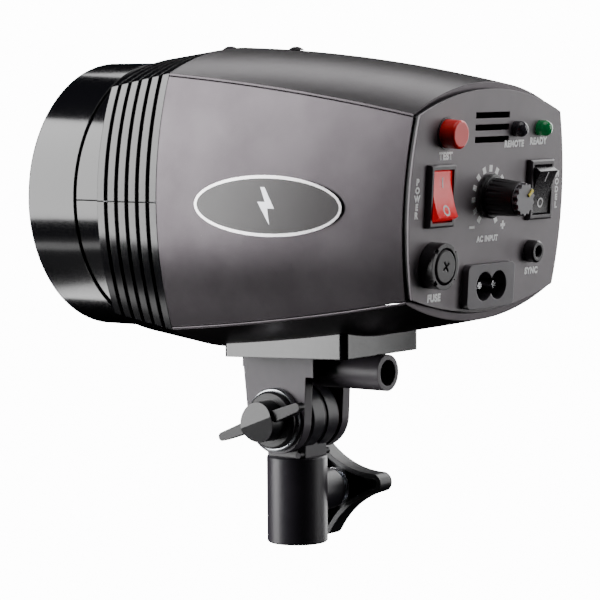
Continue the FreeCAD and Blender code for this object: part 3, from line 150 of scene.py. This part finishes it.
# Friction fibre: dull brown and coarse. Blackened steel: dark with a faint metal glint.
friction_fibre = sprayed_paint("pressed_friction_fibre", "2a211b", "3d3128", 0.8, 0.9, 0.08)
blackened_steel = sprayed_paint("blackened_steel", "1b1a1c", "2a282b", 0.38, 0.8, 0.01, metallic=0.7)
dress(satin_black, "tilt_knuckle")
dress(friction_fibre, "friction_discs")
dress(blackened_steel, "stop_pin")


# ---- Socket lock: insert, screw, collar and star knob ----
# A plated steel screw runs in a plated insert. Its star knob is moulded nylon
# with a slightly grained black skin, over a polished chrome collar.

METAL_EDGE = 0.0002         # radius of a broken edge on metal or a small moulding, in metres


def bare_metal(name, shade, roughness, scratch_mm):
    """Turned or polished metal: fine rings round X from turning change the roughness."""
    material = new_material(name)
    place = add_node(material, "ShaderNodeTexCoord", {}, {})
    turned = add_node(
        material, "ShaderNodeMapping", {}, {"Vector": place.outputs["Object"], "Scale": (1.0, 0.12, 0.12)}
    )
    marks = add_node(
        material,
        "ShaderNodeTexNoise",
        {},
        {"Vector": turned.outputs["Vector"], "Scale": 1000.0 / scratch_mm, "Detail": 3.0},
    )
    shine = add_node(
        material,
        "ShaderNodeMapRange",
        {},
        {"Value": marks.outputs["Fac"], "To Min": roughness * 0.6, "To Max": roughness * 1.5},
    )
    eased = add_node(material, "ShaderNodeBevel", {"samples": 4}, {"Radius": METAL_EDGE})
    bump = add_node(
        material,
        "ShaderNodeBump",
        {},
        {
            "Height": marks.outputs["Fac"],
            "Distance": 0.00001,
            "Strength": 0.4,
            "Normal": eased.outputs["Normal"],
        },
    )
    shader = add_node(
        material,
        "ShaderNodeBsdfPrincipled",
        {},
        {
            "Base Color": linear(shade),
            "Metallic": 1.0,
            "Roughness": shine.outputs["Result"],
            "Normal": bump.outputs["Normal"],
        },
    )
    add_node(material, "ShaderNodeOutputMaterial", {}, {"Surface": shader.outputs["BSDF"]})
    return material


# Chrome plate mirrors sharply, zinc plate more softly, and the nylon has a low, even sheen.
chrome_plate = bare_metal("polished_chrome_plate", "d9d9dc", 0.08, 0.8)
zinc_steel = bare_metal("zinc_plated_steel", "b9bcc0", 0.28, 0.5)
knob_nylon = sprayed_paint("moulded_black_nylon", "0e0e11", "17161a", 0.4, 0.7, 0.02)
dress(zinc_steel, "lock_insert", "lock_screw")
dress(chrome_plate, "lock_collar")
dress(knob_nylon, "lock_knob")


# ---- Tilt bracket and clamp ----
# The bracket is one die casting with the umbrella tube. It is sprayed a
# flatter black than the socket, with a coarser texture that catches the light.

# Flat black cast: a charcoal with a broad soft highlight and a 0.8 mm grain.
flat_black = sprayed_paint("flat_black_cast", "3d383f", "4c464d", 0.45, 0.8, 0.04)
dress(flat_black, "tilt_bracket")
dress(blackened_steel, "tilt_bolt")
dress(zinc_steel, "tilt_washer", "tilt_insert", "foot_screws")
dress(knob_nylon, "tilt_knob")


# ---- Foot plate, front casing and hood ----
# Injection-moulded ABS with a polished skin. It mirrors the lights in long
# clean bands, with a slight waviness from moulding.

DUST_PER_METRE = 900.0      # dull specks about 1.1 mm apart


def polished_abs(name, shade, wave_mm):
    """Polished moulding: a slow wave in the surface, and a gloss dulled unevenly by dust."""
    material = new_material(name)
    place = add_node(material, "ShaderNodeTexCoord", {}, {})
    wave = add_node(
        material,
        "ShaderNodeTexNoise",
        {},
        {"Vector": place.outputs["Object"], "Scale": 1000.0 / wave_mm, "Detail": 1.0},
    )
    dust = add_node(
        material,
        "ShaderNodeTexNoise",
        {},
        {"Vector": place.outputs["Object"], "Scale": DUST_PER_METRE, "Detail": 3.0},
    )
    shine = add_node(
        material, "ShaderNodeMapRange", {}, {"Value": dust.outputs["Fac"], "To Min": 0.10, "To Max": 0.17}
    )
    eased = add_node(material, "ShaderNodeBevel", {"samples": 6}, {"Radius": 0.0005})
    bump = add_node(
        material,
        "ShaderNodeBump",
        {},
        {
            "Height": wave.outputs["Fac"],
            "Distance": 0.00012,
            "Strength": 0.5,
            "Normal": eased.outputs["Normal"],
        },
    )
    shader = add_node(
        material,
        "ShaderNodeBsdfPrincipled",
        {},
        {
            "Base Color": linear(shade),
            "Roughness": shine.outputs["Result"],
            "IOR": 1.53,
            "Normal": bump.outputs["Normal"],
        },
    )
    add_node(material, "ShaderNodeOutputMaterial", {}, {"Surface": shader.outputs["BSDF"]})
    return material


# Polished black ABS: deep black that carries clean, slightly wavering reflections.
black_abs = polished_abs("polished_black_abs", "0b0b0e", 22.0)
dress(black_abs, "foot_plate", "front_casing_upper", "front_casing_lower", "reflector_hood")


# ---- Body covers ----
# Four moulded covers painted a warm metallic grey. The paint is satin, with a
# fine flake that is drawn coarser than life so that it shows.

# Metallic paint: the grey runs from light to nearly black as the surface turns from the lights.
cover_paint = sprayed_paint(
    "warm_grey_metallic", "433f42", "4c484b", 0.3, 0.55, 0.03, metallic=0.9, edge_mm=0.6
)
dress(cover_paint, "upper_shell", "lower_shell", "side_cover_right", "side_cover_left")
dress(blackened_steel, "top_screws")


# ---- Side badges ----
# Oval dark plates let into the side covers, printed brown-black with a bright
# silver rim, and a plain bolt sign in the middle.

RIM_WIDTH = 0.0011
FLECKS_PER_METRE = 1800.0   # changes of gloss about 0.6 mm apart


def badge_plate():
    """Badge print, brown-black in an oval with bright metal round it. Gives the middle and half size."""
    low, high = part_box("side_badges")
    middle = [(a + b) / 2 for a, b in zip(low, high)]
    half = [(b - a) / 2 for a, b in zip(low, high)]
    material = new_material("badge_print_and_silver_rim")
    place = add_node(material, "ShaderNodeTexCoord", {}, {})
    centred = add_node(
        material,
        "ShaderNodeVectorMath",
        {"operation": "SUBTRACT"},
        {0: place.outputs["Object"], 1: (0.0, middle[1], middle[2])},
    )
    scaled = add_node(
        material,
        "ShaderNodeVectorMath",
        {"operation": "MULTIPLY"},
        {0: centred.outputs[0], 1: (0.0, 1 / (half[1] - RIM_WIDTH), 1 / (half[2] - RIM_WIDTH))},
    )
    reach = add_node(material, "ShaderNodeVectorMath", {"operation": "LENGTH"}, {0: scaled.outputs[0]})
    on_rim = add_node(
        material, "ShaderNodeMath", {"operation": "GREATER_THAN"}, {0: reach.outputs["Value"], 1: 1.0}
    )
    grain = add_node(
        material, "ShaderNodeTexNoise", {}, {"Vector": place.outputs["Object"], "Scale": FLECKS_PER_METRE}
    )
    shade = add_node(material, "ShaderNodeValToRGB", {}, {"Fac": on_rim.outputs[0]})
    shade.color_ramp.elements[0].color = linear("1c1416")
    shade.color_ramp.elements[1].color = linear("c9c7c8")
    shine = add_node(
        material, "ShaderNodeMapRange", {}, {"Value": grain.outputs["Fac"], "To Min": 0.16, "To Max": 0.3}
    )
    shader = add_node(
        material,
        "ShaderNodeBsdfPrincipled",
        {},
        {
            "Base Color": shade.outputs["Color"],
            "Metallic": on_rim.outputs[0],
            "Roughness": shine.outputs["Result"],
        },
    )
    add_node(material, "ShaderNodeOutputMaterial", {}, {"Surface": shader.outputs["BSDF"]})
    dress(material, "side_badges")
    return middle, half


badge_middle, badge_half = badge_plate()


SEARCH_FROM = 0.01          # how far outside the skin a vertex starts its way onto it, in metres


def on_surface(node, mesh, start_side, lift):
    """Lays a flat mesh onto a CAD node from start_side, a hair above the skin."""
    target = frame["nodes"][node]
    form = bmesh.new()
    form.from_mesh(mesh)
    bmesh.ops.triangulate(form, faces=form.faces)
    for _ in range(2):
        bmesh.ops.subdivide_edges(form, edges=form.edges, cuts=1)
        bmesh.ops.triangulate(form, faces=form.faces)
    for vertex in form.verts:
        hit, place, normal, _ = target.ray_cast(vertex.co + start_side * SEARCH_FROM, -start_side)
        if hit:
            vertex.co = place + normal * lift
    form.to_mesh(mesh)
    form.free()
    return mesh


def flat_shape(name, outline):
    """One flat face from a closed row of points."""
    form = bmesh.new()
    form.faces.new([form.verts.new(point) for point in outline])
    mesh = bpy.data.meshes.new(name)
    form.to_mesh(mesh)
    form.free()
    return mesh


def new_piece(name, mesh, material, body):
    """A finished mesh as a piece that rides on a body."""
    piece = bpy.data.objects.new(name, mesh)
    bpy.context.scene.collection.objects.link(piece)
    mesh.materials.clear()
    mesh.materials.append(material)
    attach(piece, body)
    return piece


# Silver print: a bright metal grey that flashes when a light is behind the viewer.
silver_print = bare_metal("silver_badge_print", "bfc0c4", 0.3, 0.5)
# Corners of the bolt sign, in mm across and up from the badge's middle.
bolt_sign = ((0.6, 6.4), (-3.4, -0.8), (-0.5, -0.8), (-1.2, -6.4), (3.6, 1.4), (0.4, 1.4), (2.4, 6.4))
for side, name in ((1, "badge_sign_right"), (-1, "badge_sign_left")):
    outward = Vector((side, 0, 0))
    corners = [
        Vector((side * badge_half[0], badge_middle[1] - side * across / 1000, badge_middle[2] + up / 1000))
        for across, up in bolt_sign
    ]
    sign = on_surface("side_badges", flat_shape(name, corners), outward, 0.00006)
    new_piece(name, sign, silver_print, "head")


# ---- Lamp end ----
# A spun aluminium dish round a white ceramic base, a ring of glass flash tube
# and a small halogen lamp for modelling light.

RIPPLES_PER_METRE = 260.0   # drawn glass wavers every 4 mm


def glass(name, shade, haze):
    """Clear drawn glass with a slight waver."""
    material = new_material(name)
    place = add_node(material, "ShaderNodeTexCoord", {}, {})
    ripple = add_node(
        material, "ShaderNodeTexNoise", {}, {"Vector": place.outputs["Object"], "Scale": RIPPLES_PER_METRE}
    )
    bump = add_node(
        material,
        "ShaderNodeBump",
        {},
        {"Height": ripple.outputs["Fac"], "Distance": 0.00003, "Strength": 0.4},
    )
    shader = add_node(
        material,
        "ShaderNodeBsdfPrincipled",
        {},
        {
            "Base Color": linear(shade),
            "Roughness": haze,
            "IOR": 1.47,
            "Transmission Weight": 0.9,
            "Normal": bump.outputs["Normal"],
        },
    )
    add_node(material, "ShaderNodeOutputMaterial", {}, {"Surface": shader.outputs["BSDF"]})
    return material


# Spun aluminium is bright and folded sheet duller. Glazed ceramic is a soft white, and quartz is clear.
spun_aluminium = bare_metal("spun_aluminium", "d6d7da", 0.22, 0.6)
folded_aluminium = bare_metal("folded_aluminium", "a9abae", 0.4, 0.7)
steatite = sprayed_paint("glazed_steatite", "d8d3c6", "e6e1d6", 0.45, 0.6, 0.02)
clear_glass = glass("clear_quartz_glass", "f4f3ee", 0.03)
dress(spun_aluminium, "reflector_dish")
dress(folded_aluminium, "bulkhead", "chassis")
dress(steatite, "lamp_base", "lamp_socket")
dress(clear_glass, "flash_tube", "modelling_lamp")


# ---- Power pack inside the covers ----
# Two sleeved capacitors and the circuit board on a folded tray. They are
# closed in, and show only through the gaps.

# The shrunk sleeves are glossy dark blue, and the board's lacquer is green.
capacitor_sleeve = sprayed_paint("capacitor_sleeve", "10182e", "182340", 0.3, 1.0, 0.01)
board_laminate = sprayed_paint("board_laminate", "0f3d22", "14502c", 0.4, 0.9, 0.02)
dress(capacitor_sleeve, "capacitors", "trigger_coil")
dress(board_laminate, "main_board")


# ---- Rear panel ----
# Moulded dark grey panel with a satin skin. Its lettering and dial marks are
# white screen print, so they lie a hair above the surface.

# The panel is a flat warm grey with a fine spark, and the rubber seal frames it in dull black.
panel_skin = sprayed_paint("panel_satin_grey", "6b6469", "746d72", 0.42, 0.45, 0.02)
seal_rubber = sprayed_paint("black_seal_rubber", "121113", "1b191c", 0.6, 0.6, 0.03)
dress(panel_skin, "rear_panel")
dress(seal_rubber, "panel_seal")

joints = {joint["name"]: joint for joint in frame["record"]["behaviour"]["joints"]}
panel_out = Vector(joints["power_dial_turn"]["axis"]).normalized()
panel_up = Vector((0, -panel_out.z, panel_out.y))
dial_reach = 0.008          # from the panel to the point where the dial's axis is given
dial_foot = Vector(joints["power_dial_turn"]["pos_m"]) - panel_out * dial_reach


def on_panel(across, up, out=0.0):
    """A point given across (towards +X), up and out from the foot of the dial, in metres."""
    return dial_foot + Vector((across, 0, 0)) + panel_up * up + panel_out * out


def across_panel(point):
    """How far a point lies across and up from the foot of the dial."""
    offset = Vector(point) - dial_foot
    return offset.x, offset.dot(panel_up)


def middle_of(node):
    """The middle of a node's box."""
    low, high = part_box(node)
    return [(a + b) / 2 for a, b in zip(low, high)]


PRINT_LIFT = 0.00004        # the print's height above the panel
SIZE_OF_CAPITALS = 1.4      # the font's size over the height of its capitals
LETTER_SPACING = 1.1


def lettering(text, height, centre, axes, bold=0.09):
    """A word as a flat mesh, centred on a point. Axes: its reading way, its up and its outward way."""
    curve = bpy.data.curves.new("lettering", "FONT")
    curve.body = text
    curve.size = height * SIZE_OF_CAPITALS
    curve.offset = height * bold
    curve.space_character = LETTER_SPACING
    curve.align_x = "CENTER"
    curve.align_y = "CENTER"
    maker = bpy.data.objects.new("lettering", curve)
    bpy.context.scene.collection.objects.link(maker)
    bpy.context.view_layer.update()
    mesh = bpy.data.meshes.new_from_object(maker.evaluated_get(bpy.context.evaluated_depsgraph_get()))
    bpy.data.objects.remove(maker)
    corners = [vertex.co for vertex in mesh.vertices]
    shift = [(min(c[i] for c in corners) + max(c[i] for c in corners)) / 2 for i in (0, 1)]
    mesh.transform(Matrix.Translation((-shift[0], -shift[1], 0)))
    mesh.transform(Matrix.Translation(centre) @ Matrix(axes).transposed().to_4x4())
    return mesh


def joined(name, meshes):
    """Several meshes as one."""
    form = bmesh.new()
    for mesh in meshes:
        form.from_mesh(mesh)
    whole = bpy.data.meshes.new(name)
    form.to_mesh(whole)
    form.free()
    return whole


reading = (Vector((-1, 0, 0)), panel_up, panel_out)


def tick(angle, inner, outer, width):
    """A printed stroke on a ray from the dial's middle, at an angle clockwise from the top."""
    turn = Matrix.Rotation(-math.radians(angle), 4, "Z")
    place = Matrix.Translation(on_panel(0, 0, PRINT_LIFT)) @ Matrix(reading).transposed().to_4x4() @ turn
    half = width / 2
    corners = [(-half, inner, 0), (half, inner, 0), (half, outer, 0), (-half, outer, 0)]
    return flat_shape("tick", [place @ Vector(corner) for corner in corners])


def stacked(text, height, pitch, across, up):
    """Upright letters one below another."""
    first = up + pitch * (len(text) - 1) / 2
    return [
        lettering(letter, height, on_panel(across, first - pitch * i, PRINT_LIFT), reading)
        for i, letter in enumerate(text)
    ]


# White ink, thick enough to hide the grey under it, with a dull even surface.
screen_print = sprayed_paint("white_screen_print", "f3f2f3", "fbfbfb", 0.5, 0.4, 0.002, edge_mm=0.02)
power_across, switch_up = across_panel(middle_of("power_switch_body"))
model_across = across_panel(middle_of("model_switch_body"))[0]
LETTER_HEIGHT = 0.0021
LETTER_PITCH = 0.00275
COLUMN_OFFSET = 0.0125      # from the middle of a switch to the word beside it
words = stacked("POWER", LETTER_HEIGHT, LETTER_PITCH, power_across + COLUMN_OFFSET, switch_up)
words += stacked("MODEL", LETTER_HEIGHT, LETTER_PITCH, model_across - COLUMN_OFFSET, switch_up)
for text, height, node, across, up in (
    ("TEST", 0.0024, "test_button", 0.0, -0.0075),
    ("REMOTE", 0.00215, "sensor_window", 0.0004, -0.0051),
    ("READY", 0.0023, "ready_lamp", 0.0005, -0.0045),
    ("SYNC", 0.0022, "sync_jack", -0.0020, -0.0066),
    ("FUSE", 0.0024, "fuse_holder", -0.0023, -0.0108),
    ("AC INPUT", 0.0019, "inlet_body", 0.0, 0.0163),
):
    node_across, node_up = across_panel(middle_of(node))
    words.append(lettering(text, height, on_panel(node_across + across, node_up + up, PRINT_LIFT), reading))
for text, across in (("\u2013", 0.0096), ("+", -0.0096)):
    words.append(lettering(text, 0.0036, on_panel(across, -0.0103, PRINT_LIFT), reading, bold=0.08))
TICKS = 13
FIRST_TICK = -145           # degrees clockwise from the top
TICK_SWEEP = 295            # degrees from the first tick to the last
for step in range(TICKS):
    words.append(tick(FIRST_TICK + TICK_SWEEP / (TICKS - 1) * step, 0.0083, 0.0106, 0.0019))
new_piece("panel_print", joined("panel_print", words), screen_print, "head")


# ---- Rocker switches ----
# Snap-in switches in matt black nylon. The power rocker is clear red, to be
# lit from inside, and both have moulded on and off signs filled with white.

# Switch nylon: a matt charcoal, lighter than the rockers in it.
switch_nylon = sprayed_paint("switch_nylon", "3b363b", "474247", 0.36, 0.6, 0.02)
dress(switch_nylon, "power_switch_body", "model_switch_body")


CELLS_PER_METRE = 900.0     # the inner pattern repeats about every 1.1 mm


def tinted_clear(name, shade, roughness, glow):
    """Clear coloured plastic that is moulded with a fine inner pattern, so its depth looks uneven."""
    material = new_material(name)
    place = add_node(material, "ShaderNodeTexCoord", {}, {})
    cells = add_node(
        material, "ShaderNodeTexVoronoi", {}, {"Vector": place.outputs["Object"], "Scale": CELLS_PER_METRE}
    )
    bump = add_node(
        material,
        "ShaderNodeBump",
        {},
        {"Height": cells.outputs["Distance"], "Distance": 0.00004, "Strength": 0.35},
    )
    shader = add_node(
        material,
        "ShaderNodeBsdfPrincipled",
        {},
        {
            "Base Color": linear(shade),
            "Roughness": roughness,
            "IOR": 1.49,
            "Transmission Weight": 0.35,
            "Emission Color": linear(shade),
            "Emission Strength": glow,
            "Normal": bump.outputs["Normal"],
        },
    )
    add_node(material, "ShaderNodeOutputMaterial", {}, {"Surface": shader.outputs["BSDF"]})
    return material


# The clear red is drawn with a faint painted glow that brightens its face, and the plain rocker is glossy
# black nylon.
red_clear = tinted_clear("clear_red_polycarbonate", "e01420", 0.14, 0.25)
rocker_nylon = sprayed_paint("rocker_nylon", "1f1c20", "2b272b", 0.28, 0.6, 0.015)
dress(red_clear, "power_rocker")
dress(rocker_nylon, "model_rocker")

# Filling paint: an off-white that sits in the moulded signs.
mark_fill = sprayed_paint("rocker_mark_fill", "dedbdd", "ebe9ea", 0.4, 0.4, 0.002, edge_mm=0.02)
mark_reach = 0.0046         # from the rocker's middle to each sign
mark_height = 0.0034
skin_reach = 0.004          # puts a sign outside the rocker, before it is laid on its face
mark_lift = 0.00008
for body in ("power_rocker", "model_rocker"):
    pivot = Vector(joints[body + "_tip"]["pos_m"])
    marks = []
    for text, up in (("I", mark_reach), ("O", -mark_reach)):
        start = pivot + panel_up * up + panel_out * skin_reach
        mark = lettering(text, mark_height, start, reading, bold=0.03)
        marks.append(on_surface(body, mark, panel_out, mark_lift))
    new_piece(body + "_marks", joined(body + "_marks", marks), mark_fill, body)


# ---- Test button, dial, fuse holder, inlet, jack and windows ----
# Small bought-in controls: glossy red button, fluted black knob with a grey
# cap, thermoset fuse holder and jack, charcoal inlet and two domed windows.

# The button is a bright even red. The knob's black is soft, the thermoset's harder and
# glossier, and the inlet is a lighter charcoal. The lens glows faintly, and the window is drawn dark grey,
# a painted shade for the inside seen through its clear dome.
red_button = sprayed_paint("red_button_plastic", "dc1a1c", "ee2422", 0.3, 0.8, 0.01)
knob_black = sprayed_paint("dial_black_plastic", "141316", "1f1d20", 0.36, 0.5, 0.02)
thermoset = sprayed_paint("black_thermoset", "1f1c1f", "292629", 0.34, 0.6, 0.02)
inlet_nylon = sprayed_paint("charcoal_inlet_nylon", "444046", "504c52", 0.38, 0.6, 0.02)
green_clear = tinted_clear("clear_green_lens", "189050", 0.08, 0.1)
clear_window = tinted_clear("clear_window", "46444a", 0.05, 0.0)


POINTER_FILL = 0.0004       # how deep the pointer's yellow goes from its top
SPECKS_PER_METRE = 1600.0   # changes of gloss about 0.6 mm apart


def cap_plastic():
    """Grey cap whose raised pointer is yellow: the colour changes just above the cap's face."""
    cap_vertices = frame["nodes"]["dial_cap"].data.vertices
    fill_start = max((vertex.co - dial_foot).dot(panel_out) for vertex in cap_vertices) - POINTER_FILL
    material = new_material("dial_cap_grey_and_yellow")
    place = add_node(material, "ShaderNodeTexCoord", {}, {})
    offset = add_node(
        material,
        "ShaderNodeVectorMath",
        {"operation": "SUBTRACT"},
        {0: place.outputs["Object"], 1: dial_foot},
    )
    out = add_node(
        material, "ShaderNodeVectorMath", {"operation": "DOT_PRODUCT"}, {0: offset.outputs[0], 1: panel_out}
    )
    raised = add_node(
        material, "ShaderNodeMath", {"operation": "GREATER_THAN"}, {0: out.outputs["Value"], 1: fill_start}
    )
    grain = add_node(
        material, "ShaderNodeTexNoise", {}, {"Vector": place.outputs["Object"], "Scale": SPECKS_PER_METRE}
    )
    shade = add_node(material, "ShaderNodeValToRGB", {}, {"Fac": raised.outputs[0]})
    shade.color_ramp.elements[0].color = linear("77757a")
    shade.color_ramp.elements[1].color = linear("f6e02c")
    shine = add_node(
        material, "ShaderNodeMapRange", {}, {"Value": grain.outputs["Fac"], "To Min": 0.28, "To Max": 0.4}
    )
    eased = add_node(material, "ShaderNodeBevel", {"samples": 4}, {"Radius": METAL_EDGE})
    shader = add_node(
        material,
        "ShaderNodeBsdfPrincipled",
        {},
        {
            "Base Color": shade.outputs["Color"],
            "Roughness": shine.outputs["Result"],
            "Normal": eased.outputs["Normal"],
        },
    )
    add_node(material, "ShaderNodeOutputMaterial", {}, {"Surface": shader.outputs["BSDF"]})
    return material


dress(switch_nylon, "test_switch")
dress(red_button, "test_button")
dress(zinc_steel, "dial_control", "dial_shaft")
dress(knob_black, "dial_knob")
dress(cap_plastic(), "dial_cap")
dress(thermoset, "fuse_holder", "fuse_cap", "fuse_carrier", "sync_jack")
dress(inlet_nylon, "inlet_body")
dress(chrome_plate, "inlet_pins")
dress(clear_glass, "fuse_link")
dress(clear_window, "sensor_window")
dress(green_clear, "ready_lamp")


# ---- Studio ----
# A pale floor well below the stand head, large soft lights, and the camera.
# The floor and the sky are plain white to the camera and cast no colour.

def studio_light(name, place, aim, width, height, power):
    """A rectangular light turned to face a point. Power is in watts."""
    lamp = bpy.data.lights.new(name, "AREA")
    lamp.shape = "RECTANGLE"
    lamp.size = width
    lamp.size_y = height
    lamp.energy = power
    holder = bpy.data.objects.new(name, lamp)
    bpy.context.scene.collection.objects.link(holder)
    turn = (Vector(aim) - Vector(place)).to_track_quat("-Z", "Y").to_matrix().to_4x4()
    holder.matrix_world = Matrix.Translation(place) @ turn
    return holder


# Azimuth (from +X towards +Y) and elevation in degrees, distance, width and height in metres, power
# in watts, and whether the light is only a card for the glossy pieces to mirror.
subject = Vector((0, 0, 0.12))
for name, azimuth, elevation, distance, width, height, power, only_gloss in (
    ("side_softbox", -50, 15, 1.1, 0.72, 1.24, 32.0, False),
    ("top_softbox", 75, 80, 1.0, 1.0, 0.8, 5.0, False),
    ("panel_softbox", 128, 12, 1.2, 0.7, 1.0, 8.0, False),
    ("far_softbox", 176, 12, 1.2, 0.8, 1.2, 16.0, False),
    ("rear_card", 212, 42, 1.2, 0.9, 0.3, 2.6, True),
    ("low_strip", -48, -30, 1.0, 0.6, 0.07, 0.3, True),
    ("floor_strip", -75, -50, 1.0, 0.7, 0.12, 1.8, True),
    ("floor_card", -20, -62, 1.2, 1.6, 1.6, 1.2, True),
):
    flat = math.cos(math.radians(elevation))
    toward = (
        flat * math.cos(math.radians(azimuth)),
        flat * math.sin(math.radians(azimuth)),
        math.sin(math.radians(elevation)),
    )
    holder = studio_light(name, subject + Vector(toward) * distance, subject, width, height, power)
    holder.visible_diffuse = not only_gloss

SURROUND_STRENGTH = 14.0    # white after the view transform
world = bpy.data.worlds.new("white_surround")
bpy.context.scene.world = world
world.use_nodes = True
world.node_tree.nodes["Background"].inputs["Color"].default_value = (1, 1, 1, 1)
world.node_tree.nodes["Background"].inputs["Strength"].default_value = SURROUND_STRENGTH
world.cycles_visibility.diffuse = False
world.cycles_visibility.glossy = False
world.cycles_visibility.transmission = False

# Pale backdrop paper: almost white, with faint patches about 33 mm across.
FLOOR_DROP = 0.6            # below the socket's mouth
FLOOR_REACH = 6.0           # from its middle to its edge
floor_paper = new_material("pale_paper_floor")
paper_place = add_node(floor_paper, "ShaderNodeTexCoord", {}, {})
paper_grain = add_node(
    floor_paper, "ShaderNodeTexNoise", {}, {"Vector": paper_place.outputs["Object"], "Scale": 30.0}
)
paper_shade = add_node(
    floor_paper,
    "ShaderNodeMapRange",
    {},
    {"Value": paper_grain.outputs["Fac"], "To Min": 13.7, "To Max": SURROUND_STRENGTH},
)
paper_glow = add_node(floor_paper, "ShaderNodeEmission", {}, {"Strength": paper_shade.outputs["Result"]})
add_node(floor_paper, "ShaderNodeOutputMaterial", {}, {"Surface": paper_glow.outputs[0]})
floor_form = bmesh.new()
bmesh.ops.create_grid(floor_form, x_segments=2, y_segments=2, size=FLOOR_REACH)
bmesh.ops.translate(floor_form, vec=(0, 0, -FLOOR_DROP), verts=floor_form.verts)
floor_mesh = bpy.data.meshes.new("floor")
floor_form.to_mesh(floor_mesh)
floor_form.free()
floor_mesh.materials.append(floor_paper)
floor = bpy.data.objects.new("floor", floor_mesh)
bpy.context.scene.collection.objects.link(floor)
floor.visible_diffuse = False
floor.visible_glossy = False
floor.visible_transmission = False
floor.visible_shadow = False

# The camera stands about a metre away, level with the panel, behind and to the right of the head.
camera_place = (0.7782, 0.5913, 0.1690)
camera_lens = bpy.data.cameras.new("camera")
camera_lens.lens = 163.1
camera_lens.sensor_width = 36.0
camera = bpy.data.objects.new("camera", camera_lens)
bpy.context.scene.collection.objects.link(camera)
camera_right = Vector((-0.60327, 0.79750, -0.00753))
camera_up = Vector((-0.070566, -0.043965, 0.996538))
camera_back = camera_right.cross(camera_up)
camera_turn = Matrix((camera_right, camera_up, camera_back)).transposed().to_4x4()
camera.matrix_world = Matrix.Translation(camera_place) @ camera_turn
bpy.context.scene.camera = camera
